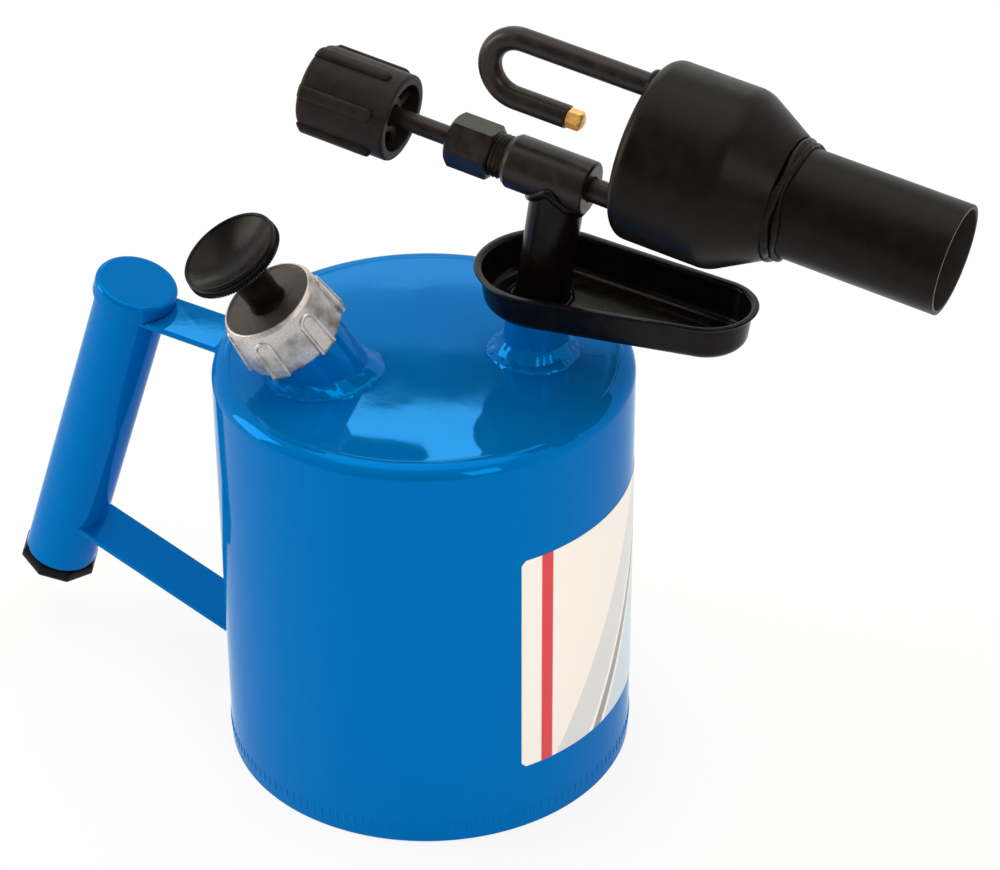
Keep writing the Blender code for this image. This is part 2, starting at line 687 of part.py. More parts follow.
def strip_outline(line, thickness):
    """Both faces of a strip round its middle line."""
    left = []
    right = []
    for index, point in enumerate(line):
        before = line[max(index - 1, 0)]
        after = line[min(index + 1, len(line) - 1)]
        along = (after - before).normalized()
        side = Vector((-along.y, along.x))
        left.append(point + side * 0.5 * thickness)
        right.append(point - side * 0.5 * thickness)
    return left + list(reversed(right))


def make_handle(finishes):
    """Tube, pressed cap and pull-out plug on their own leaning axis, and the strip bracket."""
    top_x = -(TANK_RADIUS + HANDLE_REACH)
    top_z = TANK_HEIGHT - HANDLE_TOP_DROP
    line = frame_empty("handle_line", (top_x, 0.0, top_z), (0.0, HANDLE_LEAN, 0.0))

    cap_low = -HANDLE_CAP_SKIRT
    inside = HANDLE_RADIUS + GAP
    edge = HANDLE_CAP_EDGE
    cap = [(0.0, 0.0)] + arc((HANDLE_CAP_RADIUS - edge, -edge), edge, QUARTER_TURN, 0.0)
    cap += [(HANDLE_CAP_RADIUS, cap_low), (inside, cap_low), (inside, -HANDLE_CAP_THICKNESS)]
    cap += [(0.0, -HANDLE_CAP_THICKNESS)]
    turned("handle_cap", cap, TUBE_STEPS, finishes["blue_paint"], line)
    tube_top = -HANDLE_CAP_THICKNESS - GAP
    turned("handle_tube", tube_outline(HANDLE_RADIUS, HANDLE_RADIUS - HANDLE_WALL, -HANDLE_LENGTH, tube_top),
           TUBE_STEPS, finishes["blue_paint"], line)

    head_top = -HANDLE_LENGTH - RUNNING_GAP
    head_low = head_top - PLUG_HEAD_HEIGHT
    spigot = HANDLE_RADIUS - HANDLE_WALL - RUNNING_GAP
    spigot_top = head_top + PLUG_SPIGOT_LENGTH
    head = [(0.0, head_top), (PLUG_RADIUS - 0.5 * PLUG_CHAMFER, head_top)]
    head += [(PLUG_RADIUS, head_top - PLUG_CHAMFER), (PLUG_RADIUS, head_low + 2.0 * PLUG_CHAMFER)]
    head += [(PLUG_RADIUS - 2.0 * PLUG_CHAMFER, head_low), (0.0, head_low)]
    plug = turned("handle_plug", head, PLUG_FACETS, finishes["black_plastic"], line)
    plug.data.shade_flat()
    hollow = spigot - PLUG_SPIGOT_WALL
    stem = [(spigot - 0.5 * PLUG_CHAMFER, spigot_top), (spigot, spigot_top - PLUG_CHAMFER)]
    stem += [(spigot, head_top - PLUG_CHAMFER), (hollow, head_top - PLUG_CHAMFER), (hollow, spigot_top)]
    combine(plug, turned_cutter("plug_spigot_guide", stem, SMALL_STEPS, line), "UNION")

    half = 0.5 * STRIP_THICKNESS
    plate_x = -(TANK_RADIUS + GAP + half)
    upper_corner = TANK_HEIGHT - UPPER_ARM_DROP
    slope = math.tan(UPPER_ARM_RISE)
    lean = math.tan(HANDLE_LEAN)
    run = (top_z - upper_corner + (plate_x - top_x) / lean) / (slope + 1.0 / lean)
    lower_reach = HANDLE_LENGTH - LOWER_ARM_LIFT
    lower_mouth = (top_x - lower_reach * math.sin(HANDLE_LEAN), top_z - lower_reach * math.cos(HANDLE_LEAN))
    points = [(plate_x - run, upper_corner + slope * run), (plate_x, upper_corner)]
    points += [(plate_x, LOWER_ARM_HEIGHT), lower_mouth]
    outline = strip_outline(strip_line(points, STRIP_BEND_RADIUS + half), STRIP_THICKNESS)
    near = -0.5 * STRIP_WIDTH
    mesh = extruded_mesh("handle_bracket", [(x, near, z) for x, z in outline], (0.0, STRIP_WIDTH, 0.0))
    bracket = place("handle_bracket", mesh, finishes["blue_paint"])
    body = [(0.0, OVERRUN), (HANDLE_CAP_RADIUS + GAP, OVERRUN), (HANDLE_CAP_RADIUS + GAP, cap_low - GAP)]
    body += [(inside, cap_low - GAP), (inside, -HANDLE_LENGTH), (0.0, -HANDLE_LENGTH)]
    combine(bracket, turned_cutter("bracket_mouth_guide", body, TUBE_STEPS, line), "DIFFERENCE")
    return line


# Riser and tray

def make_riser(line, burner, shell, finishes):
    """Boss on the tank, riser screwed in it, welds, and the fuel tube and strainer below."""
    foot = -RISER_HEIGHT
    boss_top = foot + BOSS_HEIGHT
    outline = [(BOSS_RADIUS - BOSS_CHAMFER, boss_top), (BOSS_RADIUS, boss_top - BOSS_CHAMFER)]
    outline += [(BOSS_RADIUS, foot - BOSS_DEPTH), (BOSS_BORE_RADIUS, foot - BOSS_DEPTH)]
    outline += [(BOSS_BORE_RADIUS, boss_top)]
    turned("burner_boss", outline, TUBE_STEPS, finishes["blue_paint"], line)
    reach = BOSS_DEPTH + OVERRUN
    hole = turned_cutter("boss_hole_guide", pin_outline(BOSS_RADIUS + GAP, foot - reach, foot + reach),
                         TUBE_STEPS, line)
    combine(shell, hole, "DIFFERENCE")
    seat = frame_empty("boss_line", (0.0, 0.0, foot), (0.0, 0.0, 0.0), line)
    bpy.context.view_layer.update()
    floor = tank_floor(seat)
    fillet_weld("burner_boss_weld", seat, BOSS_RADIUS, BOSS_WELD_SIZE, floor, finishes["blue_paint"])

    shoulder = boss_top + GAP
    spigot = BOSS_BORE_RADIUS - GAP
    low = shoulder - RISER_SPIGOT_LENGTH
    outline = [(RISER_RADIUS, 0.0), (RISER_RADIUS, shoulder), (spigot, shoulder), (spigot, low)]
    outline += [(RISER_BORE_RADIUS, low), (RISER_BORE_RADIUS, 0.0)]
    riser = turned("riser", outline, TUBE_STEPS, finishes["black_paint"], line)
    reach = 2.0 * VALVE_RADIUS
    pin = pin_outline(VALVE_RADIUS + GAP, -reach, reach)
    saddle = turned_cutter("riser_saddle_guide", pin, TUBE_STEPS, burner)
    combine(riser, saddle, "DIFFERENCE")

    centres = []
    frames = []
    for step in range(SMALL_STEPS):
        angle = FULL_TURN * step / SMALL_STEPS
        across = Vector((math.cos(angle), math.sin(angle), 0.0))
        side = RISER_RADIUS * math.sin(angle)
        drop = -math.sqrt(max(VALVE_RADIUS ** 2 - side ** 2, 0.0))
        centres.append(across * RISER_RADIUS + Vector((0.0, 0.0, drop)))
        frames.append((across, Vector((0.0, 0.0, 1.0))))
    mesh = swept_mesh("riser_weld", centres, frames, RISER_WELD_RADIUS, WELD_SIDES, closed=True)
    bead = place("riser_weld", mesh, finishes["black_paint"], line)
    pin = pin_outline(RISER_RADIUS + GAP, foot, RISER_RADIUS)
    pipe = turned_cutter("riser_weld_guide", pin, TUBE_STEPS, line)
    combine(bead, pipe, "DIFFERENCE")
    combine(bead, saddle, "DIFFERENCE")

    tube_top = low + FUEL_TUBE_INSERT
    foot_z = top_height(math.hypot(RISER_X, RISER_Y))
    fall = (foot_z - BASE_RECESS - BASE_CROWN - FUEL_TUBE_FLOOR_GAP) / math.cos(BURNER_DIP)
    tube_low = foot - fall
    turned("fuel_tube", tube_outline(FUEL_TUBE_RADIUS, FUEL_TUBE_RADIUS - FUEL_TUBE_WALL, tube_low, tube_top),
           TINY_STEPS, finishes["bare_steel"], line)
    inside = FUEL_TUBE_RADIUS + GAP
    low = tube_low - STRAINER_DROP_SHARE * STRAINER_HEIGHT
    high = low + STRAINER_HEIGHT
    outline = [(inside, high), (STRAINER_RADIUS, high), (STRAINER_RADIUS, low), (0.0, low)]
    outline += [(0.0, low + STRAINER_WALL), (STRAINER_RADIUS - STRAINER_WALL, low + STRAINER_WALL)]
    outline += [(STRAINER_RADIUS - STRAINER_WALL, high - STRAINER_WALL), (inside, high - STRAINER_WALL)]
    ordered = outline[4:] + outline[:4]
    turned("fuel_strainer", ordered, SMALL_STEPS, finishes["brass"], line)


def teardrop(inset, steps=8):
    """Plan line of the tray: a big and a small circle joined by their tangents, moved inwards by an inset."""
    lean = math.acos((TRAY_BIG_RADIUS - TRAY_SMALL_RADIUS) / TRAY_LENGTH)
    big = arc((0.0, 0.0), TRAY_BIG_RADIUS - inset, lean, FULL_TURN - lean, 2 * steps)
    small = arc((TRAY_LENGTH, 0.0), TRAY_SMALL_RADIUS - inset, -lean, lean, steps)
    return big + small


def make_tray(line, finishes):
    """The pressed dish: flared lip, drafted wall and flat floor, pierced by the riser."""
    foot_z = top_height(math.hypot(RISER_X, RISER_Y))
    rim_z = foot_z + TRAY_RIM_LIFT
    floor_z = rim_z - TRAY_DEPTH
    centre_x = RISER_X + TRAY_RIM_LIFT * math.tan(BURNER_DIP) + TRAY_START
    wall_inset = TRAY_FLARE + TRAY_DRAFT
    radius = TRAY_FLOOR_RADIUS
    lip_in, lip_down = TRAY_LIP_SHARES
    lip = (lip_in * TRAY_FLARE, rim_z - lip_down * TRAY_FLARE_DROP)
    sections = [(0.0, rim_z), lip, (TRAY_FLARE, rim_z - TRAY_FLARE_DROP)]
    sections += [(wall_inset + radius - radius * math.cos(angle), floor_z + radius - radius * math.sin(angle))
                 for angle in (0.0, math.radians(30.0), math.radians(60.0), QUARTER_TURN)]
    edge_in, bend_out, bend_down = TRAY_UNDER_SHARES
    under = [(edge_in * TRAY_SHEET, rim_z - TRAY_SHEET), (lip[0], lip[1] - TRAY_SHEET)]
    under += [(TRAY_FLARE - bend_out * TRAY_SHEET, rim_z - TRAY_FLARE_DROP - bend_down * TRAY_SHEET)]
    outer = radius + TRAY_SHEET
    under += [(wall_inset + radius - outer * math.cos(angle), floor_z + radius - outer * math.sin(angle))
              for angle in (0.0, math.radians(30.0), math.radians(60.0), QUARTER_TURN)]
    bm = bmesh.new()

    def skin(levels):
        """Loft one face of the sheet through its sections and close it over the floor."""
        loops = [[bm.verts.new((x, y, height)) for x, y in teardrop(inset)] for inset, height in levels]
        for loop, following in zip(loops, loops[1:]):
            for index in range(len(loop)):
                beside = (index + 1) % len(loop)
                bm.faces.new((loop[index], loop[beside], following[beside], following[index]))
        bm.faces.new(loops[-1])
        return loops[0]

    upper_edge = skin(sections)
    lower_edge = skin(under)
    for index in range(len(upper_edge)):
        beside = (index + 1) % len(upper_edge)
        bm.faces.new((upper_edge[index], upper_edge[beside], lower_edge[beside], lower_edge[index]))
    tray = place("drip_tray", mesh_from("drip_tray", bm), finishes["black_paint"],
                 location=(centre_x, RISER_Y, 0.0))
    pin = pin_outline(RISER_RADIUS + GAP, -RISER_HEIGHT, 0.0)
    hole = turned_cutter("tray_hole_guide", pin, TUBE_STEPS, line)
    combine(tray, hole, "DIFFERENCE")

    level = -RISER_HEIGHT + (floor_z - foot_z) / math.cos(BURNER_DIP)
    slope = math.tan(BURNER_DIP)
    fillet_weld("tray_weld", line, RISER_RADIUS, TRAY_WELD_SIZE, lambda foot: level + foot.x * slope,
                finishes["black_paint"])


# Valve: heights on the burner's axis are measured forwards from the riser

def make_valve(line, riser_line, finishes):
    """Body across the riser, gland nut, packing, needle spindle and hollow knob."""
    back = -VALVE_BACK
    end = back - THREAD_LENGTH
    spindle_bore = SPINDLE_RADIUS + RUNNING_GAP
    socket = FEED_PIPE_RADIUS + GAP
    socket_back = VALVE_FRONT - PIPE_SOCKET_DEPTH
    seat_back = socket_back - SEAT_LENGTH
    outline = [(VALVE_RADIUS - VALVE_FRONT_CHAMFER, VALVE_FRONT)]
    outline += [(VALVE_RADIUS, VALVE_FRONT - VALVE_FRONT_CHAMFER)]
    outline += [(VALVE_RADIUS, back + VALVE_BACK_CHAMFER), (VALVE_RADIUS - VALVE_BACK_CHAMFER, back)]
    outline += [(THREAD_RADIUS, back), (THREAD_RADIUS, end), (PACKING_BORE_RADIUS, end)]
    outline += [(PACKING_BORE_RADIUS, end + PACKING_BORE_DEPTH), (spindle_bore, end + PACKING_BORE_DEPTH)]
    outline += [(spindle_bore, seat_back), (SEAT_HOLE_RADIUS, seat_back), (SEAT_HOLE_RADIUS, socket_back)]
    outline += [(socket, socket_back), (socket, VALVE_FRONT)]
    body = turned("valve_body", outline, TUBE_STEPS, finishes["black_paint"], line)
    port = turned_cutter("riser_port_guide", pin_outline(RISER_PORT_RADIUS, -VALVE_RADIUS - OVERRUN, 0.0),
                         SMALL_STEPS, riser_line)
    combine(body, port, "DIFFERENCE")

    packing_low = end + PACKING_BORE_DEPTH - GAP - PACKING_LENGTH
    ring = tube_outline(PACKING_BORE_RADIUS - GAP, spindle_bore, packing_low, packing_low + PACKING_LENGTH)
    turned("gland_packing", ring, SMALL_STEPS, finishes["graphite"], line)

    front = -GLAND_FRONT
    rear = front - GLAND_LENGTH
    corner = GLAND_FLATS / math.sqrt(3.0)
    hexagon = [(corner * math.cos(angle), corner * math.sin(angle), rear - OVERRUN)
               for angle in (GLAND_TURN + FULL_TURN * index / 6 for index in range(6))]
    mesh = extruded_mesh("gland_nut", hexagon, (0.0, 0.0, GLAND_LENGTH + 2.0 * OVERRUN))
    nut = place("gland_nut", mesh, finishes["black_oxide"], line)
    flat = 0.5 * GLAND_FLATS
    turning = [(0.0, front), (flat, front), (corner + GAP, front - 0.5 * GLAND_CHAMFER)]
    turning += [(corner + GAP, rear + GLAND_CHAMFER), (flat - 0.5 * GLAND_CHAMFER, rear), (0.0, rear)]
    combine(nut, turned_cutter("gland_turning_guide", turning, TUBE_STEPS, line), "INTERSECT")
    bore = [(0.0, front + OVERRUN), (THREAD_RADIUS + GAP, front + OVERRUN), (THREAD_RADIUS + GAP, end - GAP)]
    bore += [(spindle_bore, end - GAP), (spindle_bore, rear - OVERRUN), (0.0, rear - OVERRUN)]
    combine(nut, turned_cutter("gland_bore_guide", bore, SMALL_STEPS, line), "DIFFERENCE")

    knob_front = -KNOB_FRONT
    knob_back = knob_front - KNOB_LENGTH
    socket_floor = knob_front - KNOB_HUB_RECESS - KNOB_SOCKET_DEPTH
    tip = seat_back + 0.5 * SEAT_LENGTH
    outline = [(0.0, tip), (0.5 * SEAT_HOLE_RADIUS, tip), (SPINDLE_RADIUS, tip - SPINDLE_NEEDLE_LENGTH)]
    outline += [(SPINDLE_RADIUS, socket_floor + GAP), (0.0, socket_floor + GAP)]
    turned("spindle", outline, SMALL_STEPS, finishes["black_oxide"], line)

    collar = knob_front - KNOB_COLLAR_LENGTH
    lip = 0.5 * (KNOB_RADIUS - KNOB_CAVITY_RADIUS)
    floor = knob_front - KNOB_CAVITY_DEPTH
    hub_front = knob_front - KNOB_HUB_RECESS
    bore = SPINDLE_RADIUS + GAP
    outline = arc((KNOB_RADIUS - 0.5 * lip, knob_front - 0.5 * lip), 0.5 * lip, QUARTER_TURN, 0.0)
    edge = KNOB_BACK_EDGE
    outline += arc((KNOB_RADIUS - edge, knob_back + edge), edge, 0.0, -QUARTER_TURN)
    outline += [(0.0, knob_back), (0.0, socket_floor), (bore, socket_floor), (bore, hub_front)]
    outline += [(KNOB_HUB_RADIUS, hub_front), (KNOB_HUB_RADIUS, floor)]
    outline += [(KNOB_CAVITY_RADIUS - 0.5 * lip, floor), (KNOB_CAVITY_RADIUS, knob_front)]
    first = outline.index((0.0, socket_floor))
    outline = outline[first:] + outline[:first]
    knob = turned("valve_knob", outline, TUBE_STEPS, finishes["matt_plastic"], line)
    make_knob_ribs(line, knob, collar, knob_back)
    make_knob_webs(line, knob, knob_front, floor)


def make_knob_ribs(line, knob, collar, knob_back):
    """Rounded grip ribs along the knob, ending short of its collar."""
    bm = bmesh.new()
    low = knob_back + 0.5 * KNOB_BACK_EDGE
    high = collar - KNOB_RIB_RADIUS
    centre_radius = KNOB_RADIUS + KNOB_RIB_HEIGHT - KNOB_RIB_RADIUS
    lead, tip = (share * KNOB_RIB_RADIUS for share in KNOB_RIB_END_SHARES)
    sides = 6
    for index in range(KNOB_RIB_COUNT):
        turn = Matrix.Rotation(KNOB_RIB_TURN + FULL_TURN * index / KNOB_RIB_COUNT, 3, "Z")
        rings = []
        for share, height in zip(KNOB_RIB_SHARES, (low, low + lead, high, high + tip)):
            ring = []
            for side in range(sides):
                angle = FULL_TURN * side / sides
                spot = Vector((centre_radius + KNOB_RIB_RADIUS * share * math.cos(angle),
                               KNOB_RIB_RADIUS * share * math.sin(angle), height))
                ring.append(bm.verts.new(turn @ spot))
            rings.append(ring)
        for ring, following in zip(rings, rings[1:]):
            for side in range(sides):
                beside = (side + 1) % sides
                bm.faces.new((ring[side], ring[beside], following[beside], following[side]))
        bm.faces.new(rings[0])
        bm.faces.new(rings[-1])
    ribs = as_cutter(place("knob_rib_guide", mesh_from("knob_rib_guide", bm), None, line))
    combine(knob, ribs, "UNION")


def make_knob_webs(line, knob, knob_front, floor):
    """Thin webs between hub and wall inside the knob's open front."""
    bm = bmesh.new()
    inner = KNOB_HUB_RADIUS - KNOB_WEB_THICKNESS
    outer = 0.5 * (KNOB_CAVITY_RADIUS + KNOB_RADIUS)
    low = floor - KNOB_WEB_THICKNESS
    high = knob_front - KNOB_WEB_RECESS
    half = 0.5 * KNOB_WEB_THICKNESS
    for index in range(KNOB_WEB_COUNT):
        turn = Matrix.Rotation(FULL_TURN * (index + 0.5) / KNOB_WEB_COUNT, 3, "Z")
        face = bm.faces.new([bm.verts.new(turn @ Vector(corner)) for corner in (
            (inner, -half, low), (outer, -half, low), (outer, half, low), (inner, half, low))])
        grown = bmesh.ops.extrude_face_region(bm, geom=[face])
        moved = [item for item in grown["geom"] if isinstance(item, bmesh.types.BMVert)]
        bmesh.ops.translate(bm, verts=moved, vec=(0.0, 0.0, high - low))
    webs = as_cutter(place("knob_web_guide", mesh_from("knob_web_guide", bm), None, line))
    combine(knob, webs, "UNION")


# Burner

def casing_outline():
    """Outer line of the jacket, from its rear face to the small end of its cone."""
    centre = (CASING_RADIUS - CASING_EDGE_RADIUS, CASING_BACK + CASING_EDGE_RADIUS)
    points = arc(centre, CASING_EDGE_RADIUS, -QUARTER_TURN, 0.0)
    end_radius = MUZZLE_RADIUS + GAP + CONE_LIP
    slope = math.atan((CASING_RADIUS - end_radius) / (CONE_END - CONE_START))
    tangent = CASING_BEND_RADIUS * math.tan(0.5 * slope)
    bend = (CASING_RADIUS - CASING_BEND_RADIUS, CONE_START - tangent)
    points += arc(bend, CASING_BEND_RADIUS, 0.0, slope, 2)
    points.append((end_radius, CONE_END))
    return points


def casing_inside():
    """Inner line of the jacket, a wall's thickness in, from the cone's small end back to the rear."""
    inner = CASING_RADIUS - CASING_WALL
    end_radius = MUZZLE_RADIUS + GAP
    centre = (CASING_RADIUS - CASING_EDGE_RADIUS, CASING_BACK + CASING_EDGE_RADIUS)
    points = [(end_radius, CONE_END), (inner, CONE_START)]
    points += arc(centre, CASING_EDGE_RADIUS - CASING_WALL, 0.0, -QUARTER_TURN, 2)
    return points


def make_burner(line, finishes):
    """Jacket, mixing tube and muzzle on one axis, with the pipes that feed them."""
    axis = frame_empty("casing_line", (-CASING_RISE, 0.0, 0.0), (0.0, 0.0, 0.0), line)
    mouth = MIXING_TUBE_RADIUS + GAP
    outline = [(mouth, CASING_BACK)] + casing_outline() + casing_inside()
    outline.append((mouth, CASING_BACK + CASING_WALL))
    casing = turned("vaporiser_casing", outline, CASING_STEPS, finishes["black_paint"], axis)
    hole_low = CASING_BACK - OVERRUN
    hole_high = CASING_BACK + CASING_EDGE_RADIUS + OVERRUN
    pin = pin_outline(FEED_PIPE_RADIUS + GAP, hole_low, hole_high)
    feed_hole = turned_cutter("feed_hole_guide", pin, SMALL_STEPS, line)
    gas_x = -CASING_RISE - GAS_PIPE_RISE
    pin = pin_outline(GAS_PIPE_RADIUS + GAP, hole_low, hole_high)
    gas_hole = turned_cutter("gas_hole_guide", pin, SMALL_STEPS, line, (gas_x, 0.0, 0.0))
    combine(casing, feed_hole, "DIFFERENCE")
    combine(casing, gas_hole, "DIFFERENCE")

    muzzle_bore = MUZZLE_RADIUS - MUZZLE_WALL
    mixing_front = CONE_END - MUZZLE_TUCK + MIXING_TUBE_LAP
    mixing_bore = MIXING_TUBE_RADIUS - MIXING_TUBE_WALL
    tube = tube_outline(MIXING_TUBE_RADIUS, mixing_bore, CASING_BACK - MIXING_TUBE_STAND, mixing_front)
    turned("mixing_tube", tube, TUBE_STEPS, finishes["black_paint"], axis)
    tube = tube_outline(MUZZLE_RADIUS, muzzle_bore, CONE_END - MUZZLE_TUCK, MUZZLE_END)
    turned("muzzle_tube", tube, TUBE_STEPS, finishes["black_paint"], axis)
    low = CONE_END + GAP
    root = MUZZLE_RADIUS + GAP
    bead = [(root + up_share * MUZZLE_WELD_HEIGHT, low + ahead_share * MUZZLE_WELD_LENGTH)
            for up_share, ahead_share in MUZZLE_WELD_SHARES]
    turned("muzzle_weld", bead, CASING_STEPS, finishes["black_paint"], axis)

    feed_low = VALVE_FRONT - PIPE_SOCKET_DEPTH + GAP
    feed_high = CASING_BACK + PIPE_INSERT
    turned("feed_pipe", tube_outline(FEED_PIPE_RADIUS, 0.5 * FEED_PIPE_RADIUS, feed_low, feed_high),
           SMALL_STEPS, finishes["black_paint"], line)
    make_gas_pipe(line, gas_x, finishes)
    bead = pipe_weld("gas_pipe_weld", line, gas_x, GAS_PIPE_RADIUS, finishes)
    tube_pin = pin_outline(MIXING_TUBE_RADIUS + GAP, hole_low - MIXING_TUBE_STAND, hole_high)
    combine(bead, turned_cutter("mixing_tube_guide", tube_pin, TUBE_STEPS, axis), "DIFFERENCE")
    pipe_weld("feed_pipe_weld", line, 0.0, FEED_PIPE_RADIUS, finishes)


def pipe_weld(name, line, offset, pipe_radius, finishes):
    """A small bead round a pipe where it enters the jacket's rear, trimmed to the rounded edge."""
    root = pipe_radius + GAP
    low = CASING_BACK - PIPE_WELD_LENGTH
    high = CASING_BACK + CASING_EDGE_RADIUS
    crest = root + PIPE_WELD_HEIGHT
    outline = [(root, high), (crest, high), (crest, low + PIPE_WELD_HEIGHT)]
    outline += [(0.5 * (root + crest), low + 0.5 * PIPE_WELD_HEIGHT), (root, low)]
    bead = turned(name, outline, SMALL_STEPS, finishes["black_paint"], line, (offset, 0.0, 0.0))
    grown = [(0.0, CASING_BACK - GAP)]
    centre = (CASING_RADIUS - CASING_EDGE_RADIUS, CASING_BACK + CASING_EDGE_RADIUS)
    grown += arc(centre, CASING_EDGE_RADIUS + GAP, -QUARTER_TURN, 0.0)
    grown += [(CASING_RADIUS + GAP, high + OVERRUN), (0.0, high + OVERRUN)]
    grown = list(reversed(grown))
    trim = turned_cutter(name + "_guide", grown, CASING_STEPS, line, (-CASING_RISE, 0.0, 0.0))
    combine(bead, trim, "DIFFERENCE")
    return bead


def make_gas_pipe(line, gas_x, finishes):
    """The hairpin that brings vapour back to the jet, bored at its end, and the hexagonal jet."""
    top = -gas_x
    low = top - 2.0 * GAS_PIPE_BEND_RADIUS
    middle = 0.5 * (top + low)
    path = [(CASING_BACK + PIPE_INSERT, top)]
    bend = (-GAS_PIPE_BEND_X, middle)
    path += arc(bend, GAS_PIPE_BEND_RADIUS, QUARTER_TURN, QUARTER_TURN + math.pi, TINY_STEPS)
    path += [(-GAS_PIPE_END_X, low)]
    centres = [Vector((-up, 0.0, ahead)) for ahead, up in path]
    frames = []
    for index in range(len(centres)):
        before = centres[max(index - 1, 0)]
        after = centres[min(index + 1, len(centres) - 1)]
        along = (after - before).normalized()
        side = Vector((0.0, 1.0, 0.0))
        frames.append((side, along.cross(side)))
    mesh = swept_mesh("gas_pipe", centres, frames, GAS_PIPE_RADIUS, TINY_STEPS, closed=False)
    pipe = place("gas_pipe", mesh, finishes["black_paint"], line)
    end = -GAS_PIPE_END_X
    seat = (-low, 0.0, 0.0)
    pin = pin_outline(JET_SOCKET_RADIUS, end - JET_SOCKET_DEPTH, end + OVERRUN)
    socket = turned_cutter("jet_socket_guide", pin, TINY_STEPS, line, seat)
    combine(pipe, socket, "DIFFERENCE")

    head_low = end + GAP
    head_high = head_low + JET_LENGTH
    corner = JET_FLATS / math.sqrt(3.0)
    spigot = JET_SOCKET_RADIUS - GAP
    hexagon = [(corner * math.cos(angle), corner * math.sin(angle), head_low)
               for angle in (GLAND_TURN + FULL_TURN * index / 6 for index in range(6))]
    mesh = extruded_mesh("jet", hexagon, (0.0, 0.0, JET_LENGTH + OVERRUN))
    jet = place("jet", mesh, finishes["brass"], line, seat)
    turning = [(0.0, head_high), (0.5 * JET_FLATS - JET_CHAMFER, head_high)]
    turning += [(corner + GAP, head_high - 1.5 * JET_CHAMFER), (corner + GAP, head_low - GAP)]
    turning.append((0.0, head_low - GAP))
    combine(jet, turned_cutter("jet_turning_guide", turning, SMALL_STEPS, line, seat), "INTERSECT")
    stem = pin_outline(spigot, head_low - JET_SPIGOT_LENGTH, head_low + 0.5 * JET_LENGTH)
    combine(jet, turned_cutter("jet_spigot_guide", stem, TINY_STEPS, line, seat), "UNION")
    orifice = pin_outline(JET_ORIFICE_RADIUS, head_high - JET_ORIFICE_DEPTH, head_high + OVERRUN)
    combine(jet, turned_cutter("jet_orifice_guide", orifice, TINY_STEPS, line, seat), "DIFFERENCE")


def stand_centred():
    """Move the lamp along X until the origin is on the ground, under the middle of the whole lamp."""
    bpy.context.view_layer.update()
    shapes = bpy.context.evaluated_depsgraph_get()
    reach = []
    for piece in bpy.context.scene.objects:
        if piece.type == "MESH" and not piece.hide_render:
            shape = piece.evaluated_get(shapes)
            reach += [(shape.matrix_world @ vertex.co).x for vertex in shape.data.vertices]
    middle = 0.5 * (min(reach) + max(reach))
    for piece in bpy.context.scene.objects:
        if piece.parent is None:
            piece.location.x -= middle


def build():
    """Put the lamp together, from the tank outwards."""
    clear_scene()
    finishes = make_finishes()
    shell = make_tank(finishes)

    pump_x = PUMP_SEAT_RADIUS * math.cos(PUMP_ANGLE)
    pump_y = PUMP_SEAT_RADIUS * math.sin(PUMP_ANGLE)
    pump_seat = (pump_x, pump_y, top_height(PUMP_SEAT_RADIUS))
    pump_line = frame_empty("pump_line", pump_seat, (0.0, PUMP_LEAN, PUMP_ANGLE))

    foot_z = top_height(math.hypot(RISER_X, RISER_Y))
    head_x = RISER_X + RISER_HEIGHT * math.sin(BURNER_DIP)
    head = (head_x, RISER_Y, foot_z + RISER_HEIGHT * math.cos(BURNER_DIP))
    riser_line = frame_empty("riser_line", head, (0.0, BURNER_DIP, 0.0))
    burner_line = frame_empty("burner_line", head, (0.0, QUARTER_TURN + BURNER_DIP, 0.0))
    bpy.context.view_layer.update()

    make_neck(pump_line, shell, finishes)
    make_pump_nut(pump_line, finishes)
    make_barrel(pump_line, finishes)
    make_foot_valve(pump_line, finishes)
    make_plunger(pump_line, finishes)
    make_handle(finishes)
    make_riser(riser_line, burner_line, shell, finishes)
    make_tray(riser_line, finishes)
    make_valve(burner_line, riser_line, finishes)
    make_burner(burner_line, finishes)
    stand_centred()


build()
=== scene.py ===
"""Looks of a liquid-fuel blowlamp: gloss blue pressure tank, hand pump, regulating valve and black burner.

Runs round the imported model, in its own frame: metres, +Z up, +X the way the flame leaves.
"""

import math

import bmesh
import bpy
from mathutils import Matrix, Vector, noise


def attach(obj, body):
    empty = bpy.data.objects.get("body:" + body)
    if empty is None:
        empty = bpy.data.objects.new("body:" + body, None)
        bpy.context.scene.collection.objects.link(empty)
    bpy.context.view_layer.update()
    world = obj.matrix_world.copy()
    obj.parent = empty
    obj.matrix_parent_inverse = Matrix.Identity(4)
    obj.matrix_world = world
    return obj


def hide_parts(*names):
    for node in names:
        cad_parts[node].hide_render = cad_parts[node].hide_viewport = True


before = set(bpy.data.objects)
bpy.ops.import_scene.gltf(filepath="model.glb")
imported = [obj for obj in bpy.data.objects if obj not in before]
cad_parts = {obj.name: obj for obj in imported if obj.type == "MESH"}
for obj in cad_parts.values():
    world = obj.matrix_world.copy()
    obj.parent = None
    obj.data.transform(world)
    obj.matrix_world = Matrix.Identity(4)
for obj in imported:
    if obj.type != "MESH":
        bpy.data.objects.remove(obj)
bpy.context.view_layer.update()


# View: the camera stands to the lamp's front right and looks down on it through a long lens.
# The place and the two directions were fitted to the tank's rims and the burner's axis.

CAMERA_PLACE = Vector((0.38273, -0.72578, 0.64220))
CAMERA_RIGHT = Vector((0.8959, 0.4442, -0.0033))
CAMERA_UP = Vector((-0.2406, 0.4915, 0.8370))
CAMERA_LENS_MM = 118.8
SENSOR_WIDTH_MM = 36.0

